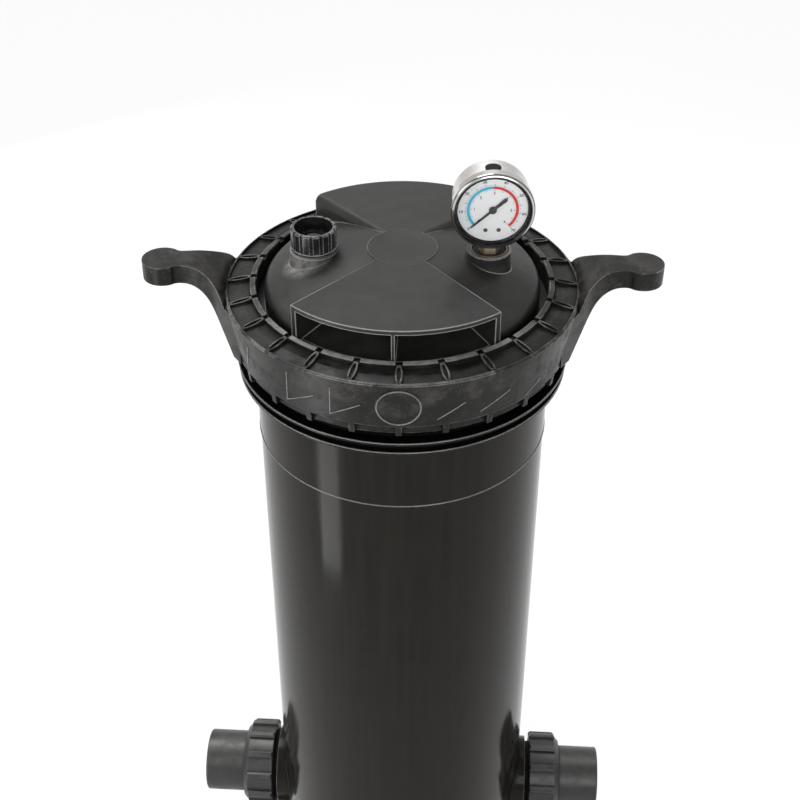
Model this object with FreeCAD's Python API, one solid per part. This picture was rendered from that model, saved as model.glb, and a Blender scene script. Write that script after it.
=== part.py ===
import FreeCAD, Part
import math
import os

# A top-loading pool cartridge filter in millimetres. The origin is on the floor under the middle of
# the tank, +Z is up, the front is -Y, the inlet is at -X and the outlet is at +X.

V = FreeCAD.Vector
ORIGIN = V(0, 0, 0)
X_AXIS = V(1, 0, 0)
Y_AXIS = V(0, 1, 0)
Z_AXIS = V(0, 0, 1)

# Clearances
seat_gap = 0.3            # between faces of parts that move apart
running_gap = 0.08        # radial, between a thread or shaft and its bore
glue_gap = 0.1            # radial, between pieces that are pushed together and stay together
lift_gap = 0.5            # radial, lid spigot inside the tank neck
seal_corner = 0.26        # broken corner of a seal as a share of its section

# Tank
tank_radius = 110.6
tank_wall = 6.3
tank_bottom = 8.0
tank_corner = 14.0
band_step = 0.6           # the band above the seam stands this much proud of the barrel
seam_drop = 68.2          # top of the double flange down to the seam
neck_step = 2.4           # the neck stands this much proud of the barrel
neck_rise = 0.7           # top of the cartridge up to the top of the neck
flange_core_step = 7.4    # the web of the flange stands this much proud of the barrel
flange_rim_depth = 6.2
lower_rim_inset = 0.9     # the lower rim is this much smaller than the upper one
rim_thickness = 2.6
rim_spacing = 8.6         # one rim to the next
rim_corner = 0.6
flange_gap = 7.5          # foot of the ring down to the upper rim

# Base stand
ledge_height = 24.0       # the tank stands on this ledge
ledge_thickness = 7.0
ledge_width = 38.6
stand_cup = 14.0          # ledge up to the top of the stand
stand_wall = 4.5
foot_reach = 29.4         # barrel to the edge of the foot
foot_thickness = 8.0
foot_hole_inset = 10.0
foot_hole_radius = 4.5
foot_hole_count = 4
stand_rib_count = 12
stand_rib_thickness = 4.0
stand_screw_inset = 26.6  # barrel in to the stand screws
stand_screw_count = 4
screw_radius = 2.4
screw_head_radius = 4.8
screw_head_height = 3.0
screw_length = 20.0
screw_boss_radius = 8.0
screw_boss_height = 12.0

# Quarter-turn lock between ring and neck
lug_count = 6
lug_arc = 26.0            # degrees
lug_depth = 6.4           # how far a neck lug stands out from the neck
lug_tip_gap = 0.4         # radial, neck lug to the skirt of the ring
ring_lug_gap = 1.3        # radial, ring lug to the neck
ring_lug_rise = 1.5       # foot of the ring up to its lugs
neck_lug_height = 7.7
ring_lug_height = 7.5
stop_arc = 2.4            # degrees, the stop that the ring lug meets when locked
stop_margin = 0.4         # degrees, between that stop and the locked ring lug
lock_turn = 30.0          # degrees, from the open index to the locked one

# Lock ring
ring_height = 46.0
ring_rise = 12.7          # bearing face up to the outer edge of the top
ring_gap = 6.2            # lid wall to the bore of the ring
ring_crown = 4.65         # the inner edge stands this much above the outer one
ring_corner = 0.8         # broken corner along both rims
ring_draft = 5.4          # the top stands this much wider than the foot
skirt_wall = 4.8          # at the foot
skirt_wall_top = 5.6
ring_web = 4.0            # thickness of the top between the rims
inner_rim_width = 4.2
outer_rim_width = 2.0
channel_flat = 7.1        # level part of the channel, next to the inner rim
channel_rise = 0.2        # that part above the outer edge of the ring
channel_drop = 1.6        # lowest edge of the channel below it
ring_rib_count = 24
ring_rib_thickness = 5.2
ring_rib_end = 2.4
rib_hollow_wall = 1.1
rib_hollow_depth = 1.5
rim_notch_width = 5.0     # gap in the inner rim at the end of each rib
rim_notch_depth = 2.6
foot_notch_height = 8.2
foot_notch_depth = 3.2
foot_width = 4.2
medallion_radius = 15.8
medallion_proud = 0.9
medallion_drop = 19.5
ring_rest_turn = 2.3      # degrees that the ring stands off the X axis in the photograph

# Handles
handle_reach = 175.0      # tank axis to the centre of the round end
handle_end_radius = 15.2
handle_end_blend = 60.0   # degrees of the round end that run into the waist
handle_waist = 12.0       # centre of the round end back to the waist
handle_neck = 10.8        # half width at the waist
handle_thickness = 14.5
handle_rise = 18.3        # top of the handle above the outer edge of the ring
handle_top_bend = 32.0
handle_top_arc = 70.0     # degrees
handle_under_bend = 25.0
handle_under_arc = 60.0   # degrees
handle_flare = 34.0       # radius that runs from the handle into the ring
handle_flare_arc = 56.0   # degrees
handle_root = 15.0        # how far the solid of a handle starts inside the ring

# Lid
lid_flange_thickness = 8.0
lid_flange_inset = 0.4    # the flange is this much smaller than the neck
lid_wall_inset = 3.3      # the wall of the lid is this much smaller than the tank bore
lid_wall = 6.0
lid_spigot_depth = 20.0
dome_radius = 215.0
dome_edge_round = 9.0
dome_rise = 30.7          # top of the dome sphere above the outer edge of the ring
disc_radius = 24.5
disc_cut = 0.7            # edge of the middle disc below the top of the dome sphere
disc_dish = 1.6
hood_overhang = 4.9       # the hoods reach this far past the wall of the lid
hood_fall = 2.7           # top of a hood at the disc down to its outer edge
hood_half_angle = 42.7
hood_plate = 3.5
hood_side_wall = 4.5
hood_web = 2.5
hood_back_round = 6.0
pocket_inner_radius = 38.0
pocket_floor_height = -0.7   # floor of the finger pocket at the dome wall
pocket_floor_slope = 0.24
hold_down_ribs = 8
hold_down_thickness = 4.0
hold_down_reach = 25.0    # how far a rib reaches in over the cartridge
valve_offset = 64.1
valve_boss_radius = 17.6
valve_boss_drop = 3.5     # below the top of the dome sphere
gauge_offset = 62.5
gauge_boss_radius = 15.8
gauge_boss_rise = 0.5     # above the top of the dome sphere
boss_flare = 1.4
boss_depth = 24.0
boss_root_height = 12.0

# Lid seal
lid_seal_section = 5.3

# Cartridge
cartridge_length = 495.0
cartridge_clearance = 6.0  # radial, cartridge inside the lid
cartridge_seat_rise = 8.6  # top of the outlet pipe up to the underside of the cartridge
cap_height = 14.0
cap_floor = 5.0
cap_rim = 1.5
cap_corner = 1.5
media_clearance = 1.0     # radial, pleats inside the rim of a cap
media_thickness = 0.6
pleat_count = 56
core_gap = 3.0            # radial, core to the inner folds
core_radius = 46.0
core_wall = 3.0
core_slot_rows = 9
core_slot_columns = 6
core_slot_height = 34.0
core_slot_arc = 34.0
grip_recess_radius = 33.0
grip_bar_width = 12.0
grip_recess_depth = 9.0
grip_recess_floor = 3.0
cartridge_seal_wall = 3.0

# Ports, unions and outlet pipe
socket_radius = 24.2       # for 48.3 mm pipe
socket_wall = 4.1
socket_depth = 33.0
tail_length = 51.6
union_flange_step = 1.5    # the flange stands this much proud of the tail
union_flange_thickness = 6.0
union_flange_gap = 1.2     # radial, flange of the tail inside the nut thread
union_seal_section = 3.0
port_wall = 7.0
port_lip = 1.4             # the outlet pipe stops against this step in the port
port_thread_length = 17.0  # collar to the face of the port
port_collar_step = 5.0
port_collar_length = 6.4   # barrel to the face of the collar
port_gap = 10.0            # stand up to the collar
port_root = 20.0           # how far the solid of a port starts inside the tank wall
pipe_wall = 3.9
pipe_socket_depth = 8.0    # port face back to the end of the pushed-in pipe
standpipe_rise = 17.0
pipe_shoulder_step = 5.0
pipe_shoulder_height = 4.0
pipe_foot_radius = 14.0
nut_length = 28.0
nut_thread_length = 13.0
nut_wall = 6.0
nut_rib_height = 3.5
nut_rib_count = 12
nut_rib_width = 7.0
diffuser_length = 21.0
diffuser_slot_count = 6
diffuser_slot_width = 13.0
diffuser_wall = 2.6

# Drain
drain_boss_radius = 15.5
drain_boss_length = 10.4   # barrel to the face of the boss
drain_gap = 2.5            # stand up to the boss
drain_bore = 10.0
drain_seal_section = 2.4
drain_head_radius = 14.0
drain_head_thickness = 6.0
drain_wing_thickness = 7.0
drain_wing_height = 9.0
drain_wing_margin = 3.0
drain_shank = 17.0

# Air relief valve
knob_radius = 16.6
knob_height = 16.7
knob_lift_off = 0.7        # boss top to the underside of the knob
knob_wall = 2.5
knob_draft = 0.4           # the cup is this much narrower at its floor
knob_rib_count = 14
knob_rib_depth = 1.3
knob_rib_width = 4.9
knob_skirt_height = 2.6
knob_skirt_step = 0.4      # the skirt stands this much proud of the ribs
knob_floor_height = 5.0
knob_floor = 3.0
relief_body_radius = 8.0
relief_spout_radius = 9.5
relief_bore = 5.3
relief_seat_hole = 2.4
relief_floor = 3.0         # thickness of the seat under the seal
relief_stem_radius = 3.9
relief_stem_head = 6.5
relief_stem_head_height = 2.2
relief_slot = 1.2          # screwdriver slot in that head, as wide as it is deep
relief_seat_depth = 22.0
relief_seal_section = 2.0
relief_vent_radius = 0.8

# Pressure gauge, with y measured forward from the stem axis
gauge_turn = 5.0           # degrees that the dial is turned towards the outlet
stem_rise = 11.9           # top of the boss up to the case
case_radius = 27.2
case_wall = 1.2
case_corner = 3.0
case_back = 10.5           # behind the stem axis
gasket_lip = 1.6           # the gasket closes over the front edge of the case
bezel_step = 2.3           # the bezel stands this much proud of the case
bezel_overlap = 1.2        # length of the bezel that lies over the case
bezel_lip_width = 3.5
bezel_wall = 1.0
window_thickness = 1.4
window_clearance = 0.5     # pointer hub to the window
dial_margin = 2.6          # radial, case to the edge of the dial
dial_thickness = 0.8
dial_depth = 14.4          # face of the dial in front of the stem axis
dial_hole = 2.4
dial_screw_spread = 4.6
dial_screw_drop = 16.0
dial_screw_radius = 1.5
pointer_gap = 0.6          # blade in front of the dial
pointer_margin = 4.1       # radial, tip of the pointer to the edge of the dial
pointer_tail = 12.5
pointer_width = 1.6
pointer_tip_width = 1.0
pointer_tail_width = 2.6
pointer_thickness = 0.5
pointer_zero = 222.0       # degrees from +X, seen from the front, where the pointer rests
pointer_hub_radius = 2.7
pointer_hub_rise = 0.7     # hub in front of the blade
arbor_radius = 1.0
arbor_length = 6.0         # behind the dial
plug_radius = 5.6
plug_neck = 3.6
plug_offset = 4.9          # its axis in front of the stem axis
stem_thread_radius = 6.6
stem_thread_length = 12.0
stem_hex = 14.0            # across flats
stem_block = 12.0
gauge_washer_radius = 11.8
gauge_washer_thickness = 2.4
gauge_recess_gap = 0.6     # radial, round the washer
gauge_recess_depth = 3.6
bourdon_radius = 17.0
bourdon_section = 2.6
bourdon_arc = 235.0
movement_plate = 1.2
movement_depth = 6.5
movement_radius = 9.0

# Radii that follow
tank_bore = tank_radius - tank_wall
neck_radius = tank_radius + neck_step
flange_core_radius = tank_radius + flange_core_step
flange_radius = flange_core_radius + flange_rim_depth
lower_rim_radius = flange_radius - lower_rim_inset
foot_radius = tank_radius + foot_reach
foot_hole_circle = foot_radius - foot_hole_inset
ledge_bore = tank_radius - ledge_width
stand_screw_circle = tank_radius - stand_screw_inset
neck_lug_radius = neck_radius + lug_depth
skirt_bore = neck_lug_radius + lug_tip_gap
ring_foot_radius = skirt_bore + skirt_wall
ring_top_radius = ring_foot_radius + ring_draft
skirt_bore_top = ring_top_radius - skirt_wall_top
lid_flange_radius = neck_radius - lid_flange_inset
lid_wall_radius = tank_bore - lid_wall_inset
lid_bore = lid_wall_radius - lid_wall
hood_radius = lid_wall_radius + hood_overhang
ring_bore = lid_wall_radius + ring_gap
channel_inner = ring_bore + inner_rim_width
channel_outer = ring_top_radius - outer_rim_width
cartridge_radius = lid_bore - cartridge_clearance
media_radius = cartridge_radius - cap_rim - media_clearance
media_bore = core_radius + core_gap
hold_down_inner = cartridge_radius - hold_down_reach
tail_radius = socket_radius + socket_wall
union_flange_radius = tail_radius + union_flange_step
port_radius = union_flange_radius + union_flange_gap
port_bore = port_radius - port_wall
port_collar_radius = port_radius + port_collar_step
union_groove_radius = (port_bore + port_radius) / 2.0
pipe_radius = port_bore + port_lip
pipe_bore = pipe_radius - pipe_wall
nut_radius = port_radius + nut_wall
nut_rib_radius = nut_radius + nut_rib_height
port_collar_reach = tank_radius + port_collar_length
port_reach = port_collar_reach + port_thread_length
drain_boss_reach = tank_radius + drain_boss_length
bezel_radius = case_radius + bezel_step
bezel_lip = bezel_radius - bezel_lip_width
dial_radius = case_radius - dial_margin
pointer_reach = dial_radius - pointer_margin
gauge_recess_radius = gauge_washer_radius + gauge_recess_gap

# Heights that follow
stand_height = ledge_height + stand_cup
port_height = stand_height + port_collar_radius + port_gap
drain_height = stand_height + drain_boss_radius + drain_gap
cartridge_seat_height = port_height + pipe_radius + cartridge_seat_rise
cartridge_top = cartridge_seat_height + cartridge_length
neck_top = cartridge_top + neck_rise
flange_under = neck_top + seat_gap
flange_top = flange_under + lid_flange_thickness
bearing_under = flange_top + seat_gap
ring_top = bearing_under + ring_rise
ring_foot = ring_top - ring_height
ring_lug_top = ring_foot + ring_lug_rise + ring_lug_height
upper_rim_top = ring_foot - flange_gap
dome_centre = ring_top + dome_rise - dome_radius
hood_crest = ring_top + dome_rise - disc_cut
valve_boss_top = ring_top + dome_rise - valve_boss_drop
gauge_boss_top = ring_top + dome_rise + gauge_boss_rise
spout_top = valve_boss_top + knob_lift_off + knob_floor_height - knob_floor - seat_gap

# Places along the gauge that follow, from the dial forward
gauge_centre = V(gauge_offset, 0, gauge_boss_top + stem_rise + case_radius)
dial_back = dial_depth - dial_thickness
case_front = dial_back - gasket_lip
pointer_back = dial_depth + pointer_gap
hub_front = pointer_back + pointer_thickness + pointer_hub_rise
window_back = hub_front + window_clearance
window_front = window_back + window_thickness
bezel_back = window_front + glue_gap
bezel_front = bezel_back + bezel_wall


def in_section(radius, height):
    return V(radius, 0, height)


def in_plan(x, y):
    return V(x, y, 0)


def face_of(to_point, start, *moves):
    """Flat face inside a closed outline. A move is a point, or (middle, end) for an arc."""
    first = to_point(*start)
    here = first
    edges = []
    for move in moves:
        if isinstance(move[0], tuple):
            middle = to_point(*move[0])
            there = to_point(*move[1])
            edges.append(Part.Arc(here, middle, there).toShape())
        else:
            there = to_point(*move)
            edges.append(Part.LineSegment(here, there).toShape())
        here = there
    edges.append(Part.LineSegment(here, first).toShape())
    return Part.Face(Part.Wire(edges))


def turned(start, *moves):
    """Solid turned about the tank axis from an outline of (radius, height) points."""
    return face_of(in_section, start, *moves).revolve(ORIGIN, Z_AXIS, 360)


def turned_along_y(start, *moves):
    """Solid turned about the Y axis from an outline of (radius, y) points."""
    return face_of(in_plan, start, *moves).revolve(ORIGIN, Y_AXIS, 360)


def turned_along_x(start, *moves):
    """Solid turned about the X axis from an outline of (x, radius) points."""
    return face_of(in_plan, start, *moves).revolve(ORIGIN, X_AXIS, 360)


def sleeve(outer, inner, low, high):
    return turned((inner, low), (outer, low), (outer, high), (inner, high))


def rod(radius, low, high, x=0.0, y=0.0):
    return Part.makeCylinder(radius, high - low, V(x, y, low))


def moved(shape, x=0.0, y=0.0, z=0.0):
    copy = shape.copy()
    copy.translate(V(x, y, z))
    return copy


def spun(shape, degrees, axis=Z_AXIS, centre=ORIGIN):
    copy = shape.copy()
    copy.rotate(centre, axis, degrees)
    return copy


def around(shape, count, first=0.0, axis=Z_AXIS):
    return [spun(shape, first + 360.0 * i / count, axis) for i in range(count)]


def fused(base, parts):
    return base.multiFuse(parts).removeSplitter()


def arc_block(outer, inner, low, high, arc, middle):
    """Part of a ring, arc degrees long and centred on the angle middle."""
    face = face_of(in_section, (inner, low), (outer, low), (outer, high), (inner, high))
    return spun(face, middle - arc / 2.0).revolve(ORIGIN, Z_AXIS, arc)


def wedge(half_angle, side_offset, low, high):
    """Fan towards -Y with both sides moved inwards by side_offset."""
    reach = 2.0 * ring_top_radius
    slope = math.radians(half_angle)
    apex = side_offset / math.sin(slope)
    spread = (reach - apex) * math.tan(slope)
    face = face_of(in_plan, (0.0, -apex), (-spread, -reach), (spread, -reach))
    return moved(face, z=low).extrude(V(0, 0, high - low))


def hexagon(across_flats, low, high):
    corner = across_flats / math.sqrt(3.0)
    corners = [(corner * math.cos(math.radians(60 * i)), corner * math.sin(math.radians(60 * i)))
               for i in range(6)]
    return moved(face_of(in_plan, *corners), z=low).extrude(V(0, 0, high - low))


def seal_outline(radius, section, low):
    """Square section with broken corners, for a moulded rubber ring."""
    inner = radius - section / 2.0
    outer = radius + section / 2.0
    high = low + section
    corner = section * seal_corner
    return [(inner, low + corner), (inner + corner, low), (outer - corner, low), (outer, low + corner),
            (outer, high - corner), (outer - corner, high), (inner + corner, high), (inner, high - corner)]


def seal_ring(radius, section, low):
    """Rubber ring about the tank axis whose middle circle has the given radius."""
    return turned(*seal_outline(radius, section, low))


# Base stand and tank

def base_stand():
    cup = tank_radius + seat_gap
    wall = cup + stand_wall
    under = ledge_height - ledge_thickness
    shell = turned((cup - stand_wall, 0), (foot_radius, 0), (foot_radius, foot_thickness - 3.0),
                   (foot_radius - 3.0, foot_thickness), (wall + 4.0, foot_thickness),
                   (wall, foot_thickness + 6.0), (wall, stand_height), (cup, stand_height),
                   (cup, under), (cup - stand_wall, under - stand_wall))
    ledge = sleeve(cup + 1.0, ledge_bore, under, ledge_height)
    hub = sleeve(ledge_bore + stand_wall, ledge_bore, 0, under + 1.0)
    rib = Part.makeBox(cup - ledge_bore - 3.0, stand_rib_thickness, under + 1.0,
                       V(ledge_bore + 2.0, -stand_rib_thickness / 2.0, 0))
    stand = fused(shell, [ledge, hub] + around(rib, stand_rib_count, 180.0 / stand_rib_count))
    foot_hole = rod(foot_hole_radius, -1.0, foot_thickness + 1.0, foot_hole_circle)
    screw_hole = rod(screw_radius + glue_gap, 0, ledge_height + 1.0, stand_screw_circle)
    holes = around(foot_hole, foot_hole_count, 45.0) + around(screw_hole, stand_screw_count)
    return stand.cut(Part.makeCompound(holes))


def base_screws():
    under = ledge_height - ledge_thickness
    head = rod(screw_head_radius, under - screw_head_height, under, stand_screw_circle)
    drive = moved(hexagon(screw_radius * 2.0, under - screw_head_height, under - screw_head_height / 2.0),
                  stand_screw_circle)
    shank = rod(screw_radius, under, under + screw_length, stand_screw_circle)
    return Part.makeCompound(around(head.fuse(shank).cut(drive), stand_screw_count))


def tank_outline():
    """Outside and inside of the tank as one turned wall, with the double flange and the neck."""
    low = ledge_height
    near = tank_corner * 0.3
    inner_corner = tank_corner - tank_wall
    inner_near = inner_corner * 0.3
    band = tank_radius + band_step
    upper = upper_rim_top
    lower = upper - rim_spacing
    seam = upper - seam_drop
    floor = low + tank_bottom
    return turned(
        (0, low), (tank_radius - tank_corner, low),
        (tank_radius - near, low + near), (tank_radius, low + tank_corner),
        (tank_radius, seam - band_step), (band, seam), (band, lower - rim_thickness - 2.0),
        (flange_core_radius, lower - rim_thickness),
        (lower_rim_radius - rim_corner, lower - rim_thickness),
        (lower_rim_radius, lower - rim_thickness + rim_corner), (lower_rim_radius, lower - rim_corner),
        (lower_rim_radius - rim_corner, lower), (flange_core_radius, lower),
        (flange_core_radius, upper - rim_thickness), (flange_radius - rim_corner, upper - rim_thickness),
        (flange_radius, upper - rim_thickness + rim_corner), (flange_radius, upper - rim_corner),
        (flange_radius - rim_corner, upper), (neck_radius + 2.0, upper), (neck_radius, upper + 2.0),
        (neck_radius, neck_top), (tank_bore + lid_seal_section, neck_top),
        (tank_bore + lid_seal_section, neck_top - lid_seal_section),
        (tank_bore, neck_top - lid_seal_section), (tank_bore, floor + inner_corner),
        (tank_bore - inner_near, floor + inner_near), (tank_bore - inner_corner, floor), (0, floor))


def neck_lugs():
    """Outward lugs on the neck, each with the stop that ends the ring's turn."""
    low = ring_lug_top + seat_gap
    high = low + neck_lug_height
    root = neck_radius - 1.0
    lug = arc_block(neck_lug_radius, root, low, high, lug_arc, 0.0)
    stop_middle = -(lug_arc / 2.0 + stop_margin + stop_arc / 2.0)
    stop = arc_block(neck_lug_radius, root, low - ring_lug_height, high, stop_arc, stop_middle)
    bridge = arc_block(neck_lug_radius, root, low, high, stop_arc + stop_margin + 1.0,
                       stop_middle + stop_margin)
    return around(lug.fuse([stop, bridge]), lug_count)


def tank_shell():
    shell = tank_outline()
    root = tank_bore - port_root
    nozzle = turned_along_x((root, 0), (port_reach, 0), (port_reach, port_radius - 1.0),
                            (port_reach - 1.0, port_radius), (port_collar_reach, port_radius),
                            (port_collar_reach, port_collar_radius), (root, port_collar_radius))
    nozzle = moved(nozzle, z=port_height)
    drain = turned_along_y((0, -drain_boss_reach), (drain_boss_radius - 1.0, -drain_boss_reach),
                           (drain_boss_radius, 1.0 - drain_boss_reach),
                           (drain_boss_radius + 2.0, port_root - tank_radius), (0, port_root - tank_radius))
    drain = moved(drain, z=drain_height)
    screw_boss = rod(screw_boss_radius, ledge_height + 1.0,
                     ledge_height + tank_bottom + screw_boss_height, stand_screw_circle)
    room = rod(tank_bore, ledge_height + tank_bottom, neck_top)
    outside = fused(shell, [part.cut(room) for part in (nozzle, spun(nozzle, 180), drain)])
    shell = fused(outside, around(screw_boss, stand_screw_count) + neck_lugs())
    pipe_end = port_reach - pipe_socket_depth
    bore = turned_along_x((root, 0), (port_reach + 1.0, 0), (port_reach + 1.0, port_bore),
                          (pipe_end, port_bore), (pipe_end, pipe_radius + glue_gap),
                          (root, pipe_radius + glue_gap))
    groove_inner = union_groove_radius - union_seal_section / 2.0
    groove_outer = union_groove_radius + union_seal_section / 2.0
    groove_end = port_reach - union_seal_section
    groove = turned_along_x((port_reach + 1.0, groove_inner), (port_reach + 1.0, groove_outer),
                            (groove_end, groove_outer), (groove_end, groove_inner))
    port_cut = moved(bore.fuse(groove), z=port_height)
    drain_cut = turned_along_y((0, -drain_boss_reach - 1.0), (drain_bore, -drain_boss_reach - 1.0),
                               (drain_bore, port_root - tank_radius), (0, port_root - tank_radius))
    screw_hole = rod(screw_radius + glue_gap, ledge_height - 1.0,
                     ledge_height - ledge_thickness + screw_length + 1.0, stand_screw_circle)
    cuts = [port_cut, spun(port_cut, 180), moved(drain_cut, z=drain_height)]
    return shell.cut(Part.makeCompound(cuts + around(screw_hole, stand_screw_count)))


# Ports, unions, outlet pipe and drain

def union_seal():
    ring = seal_ring(union_groove_radius, union_seal_section, port_reach - union_seal_section)
    return moved(spun(ring, 90.0, Y_AXIS), z=port_height)


def union_tail():
    face = port_reach + glue_gap
    end = face + tail_length
    tail = turned_along_x(
        (face, pipe_bore), (face, union_flange_radius), (face + union_flange_thickness, union_flange_radius),
        (face + union_flange_thickness, tail_radius), (end - 1.0, tail_radius), (end, tail_radius - 1.0),
        (end, socket_radius), (end - socket_depth, socket_radius), (end - socket_depth, pipe_bore))
    return moved(tail, z=port_height)


def union_nut():
    start = port_reach - nut_thread_length
    end = start + nut_length
    shoulder = port_reach + glue_gap + union_flange_thickness + seat_gap
    nut = turned_along_x(
        (start, port_radius + running_gap), (start, nut_radius - 1.0), (start + 1.0, nut_radius),
        (end - 4.0, nut_radius), (end, nut_radius - 4.0), (end, tail_radius + seat_gap),
        (shoulder, tail_radius + seat_gap), (shoulder, port_radius + running_gap))
    rib = Part.makeBox(nut_length - 4.0, nut_rib_width, nut_rib_radius - port_radius - 2.0,
                       V(start, -nut_rib_width / 2.0, port_radius + 2.0))
    rib = rib.makeChamfer(1.5, [edge for edge in rib.Edges if edge.BoundBox.ZMin > nut_rib_radius - 0.1])
    return moved(fused(nut, around(rib, nut_rib_count, 0.0, X_AXIS)), z=port_height)


def outlet_pipe():
    """Elbow from the outlet port to the standpipe that the cartridge sits on."""
    def run(radius, extra):
        corner = V(0, 0, port_height)
        level = Part.makeCylinder(radius, port_reach - pipe_socket_depth - glue_gap + extra, corner, X_AXIS)
        riser = rod(radius, port_height, cartridge_seat_height + standpipe_rise + extra)
        return level.fuse([Part.makeSphere(radius, corner), riser])
    floor = ledge_height + tank_bottom
    shoulder_top = cartridge_seat_height - seat_gap
    shoulder = rod(pipe_radius + pipe_shoulder_step, shoulder_top - pipe_shoulder_height, shoulder_top)
    foot = rod(pipe_foot_radius, floor, port_height - pipe_bore)
    toe = rod(pipe_foot_radius + 6.0, floor, floor + 4.0)
    return fused(run(pipe_radius, 0.0), [shoulder, foot, toe]).cut(run(pipe_bore, 2.0))


def inlet_diffuser():
    """Slotted cup pushed into the inlet port, which turns the incoming water aside."""
    end = port_reach - pipe_socket_depth - glue_gap
    start = end - diffuser_length - 8.0
    inside = pipe_radius - diffuser_wall
    cup = turned_along_x((start, 0), (start, pipe_radius), (end, pipe_radius), (end, inside),
                         (start + diffuser_wall, inside), (start + diffuser_wall, 0))
    slot = Part.makeBox(diffuser_slot_width, diffuser_slot_width, pipe_radius,
                        V(start + diffuser_wall, -diffuser_slot_width / 2.0, pipe_radius / 2.0))
    slots = Part.makeCompound(around(slot, diffuser_slot_count, 0.0, X_AXIS))
    return spun(moved(cup.cut(slots), z=port_height), 180)


def drain_plug():
    face = -drain_boss_reach - drain_seal_section
    front = face - drain_head_thickness
    end = face + drain_shank
    shank = drain_bore - running_gap
    plug = turned_along_y((0, front), (drain_head_radius - 1.0, front), (drain_head_radius, front + 1.0),
                          (drain_head_radius, face), (shank, face), (shank, end - 1.0), (shank - 1.0, end),
                          (0, end))
    tip = front - drain_wing_height
    half = drain_head_radius - drain_wing_margin
    wing = Part.makeBox(drain_wing_thickness, drain_wing_height + 1.0, 2.0 * half,
                        V(-drain_wing_thickness / 2.0, tip, -half))
    wing = wing.makeFillet(2.0, [edge for edge in wing.Edges if edge.BoundBox.YMax < tip + 0.1])
    return moved(fused(plug, [wing]), z=drain_height)


def drain_seal():
    middle = drain_bore + drain_seal_section / 2.0 + glue_gap
    ring = seal_ring(middle, drain_seal_section, drain_boss_reach)
    return moved(spun(ring, 90.0, X_AXIS), z=drain_height)


# Lid

def dome_height(radius):
    return dome_centre + math.sqrt(dome_radius ** 2 - radius ** 2)


def lid_body():
    """Dome, wall, flange and spigot, turned as one and closed below."""
    edge = dome_height(lid_wall_radius)
    middle = lid_wall_radius / 2.0
    body = turned((0, flange_under - lid_spigot_depth),
                  (tank_bore - lift_gap - 1.5, flange_under - lid_spigot_depth),
                  (tank_bore - lift_gap, flange_under - lid_spigot_depth + 1.5),
                  (tank_bore - lift_gap, flange_under), (lid_flange_radius, flange_under),
                  (lid_flange_radius, flange_top), (lid_wall_radius, flange_top), (lid_wall_radius, edge),
                  ((middle, dome_height(middle)), (0, dome_height(0))))
    rim = [e for e in body.Edges
           if abs(e.BoundBox.ZMin - edge) < 0.01 and abs(e.BoundBox.ZMax - edge) < 0.01]
    return body.makeFillet(dome_edge_round, rim)


def lid_room():
    """The hollow under the dome."""
    low = flange_under - lid_spigot_depth - 1.0
    ceiling = [(radius, dome_height(radius) - lid_wall - 1.0) for radius in (lid_bore, 0.6 * lid_bore, 0.0)]
    return turned((0, low), (lid_bore, low), *ceiling)


def hood(back):
    """Fan-shaped hood that rises from the middle disc, open at its outer edge."""
    top_outer = hood_crest - hood_fall
    skirt = turned((0, flange_top), (hood_radius, flange_top), (hood_radius, top_outer),
                   (disc_radius, hood_crest), (0, hood_crest))
    fan = skirt.common(wedge(hood_half_angle, 0.0, flange_top, hood_crest))
    if back:
        sides = [e for e in fan.Edges if e.BoundBox.ZMin > top_outer - 1.0 and is_straight(e)
                 and e.Length > hood_radius / 2.0]
        fan = fan.makeFillet(hood_back_round, sides)
    return spun(fan, 180 if back else 0)


def is_straight(edge):
    if len(edge.Vertexes) < 2:
        return False
    ends = edge.Vertexes[0].Point.distanceToPoint(edge.Vertexes[-1].Point)
    return abs(ends - edge.Length) < 0.001


def floor_height(radius):
    return ring_top + pocket_floor_height + pocket_floor_slope * (lid_wall_radius - radius)


def hood_pocket(back):
    """Finger room under a hood, in two halves either side of the middle web."""
    reach = hood_radius + 1.0
    slope = hood_fall / (hood_radius - disc_radius)
    ceiling = hood_crest - hood_plate
    room = turned((pocket_inner_radius, floor_height(pocket_inner_radius)),
                  (lid_wall_radius, floor_height(lid_wall_radius)), (lid_wall_radius, flange_top),
                  (reach, flange_top), (reach, ceiling - slope * (reach - disc_radius)),
                  (pocket_inner_radius, ceiling - slope * (pocket_inner_radius - disc_radius)))
    low = flange_top - 1.0
    room = room.common(wedge(hood_half_angle, hood_side_wall, low, hood_crest))
    web = Part.makeBox(hood_web, reach, hood_crest - low, V(-hood_web / 2.0, -reach, low))
    return spun(room.cut(web), 180 if back else 0)


def pocket_tub(back):
    """Wall that the pocket keeps below it, inside the hollow of the dome."""
    floor = hood_plate + 1.0
    inner = pocket_inner_radius - hood_side_wall
    tub = turned((inner, floor_height(pocket_inner_radius) - floor),
                 (lid_wall_radius, floor_height(lid_wall_radius) - floor),
                 (lid_wall_radius, hood_crest), (inner, hood_crest))
    tub = tub.common(wedge(hood_half_angle, 0.0, flange_under, hood_crest))
    return spun(tub, 180 if back else 0)


def boss(radius, top):
    """Round boss that flares where it meets the dome."""
    root = ring_top + boss_root_height
    return turned((0, top - boss_depth), (radius - 3.0, top - boss_depth), (radius + boss_flare, root),
                  (radius, root + (top - root) * 0.6), (radius, top - 0.8), (radius - 0.8, top), (0, top))


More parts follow.
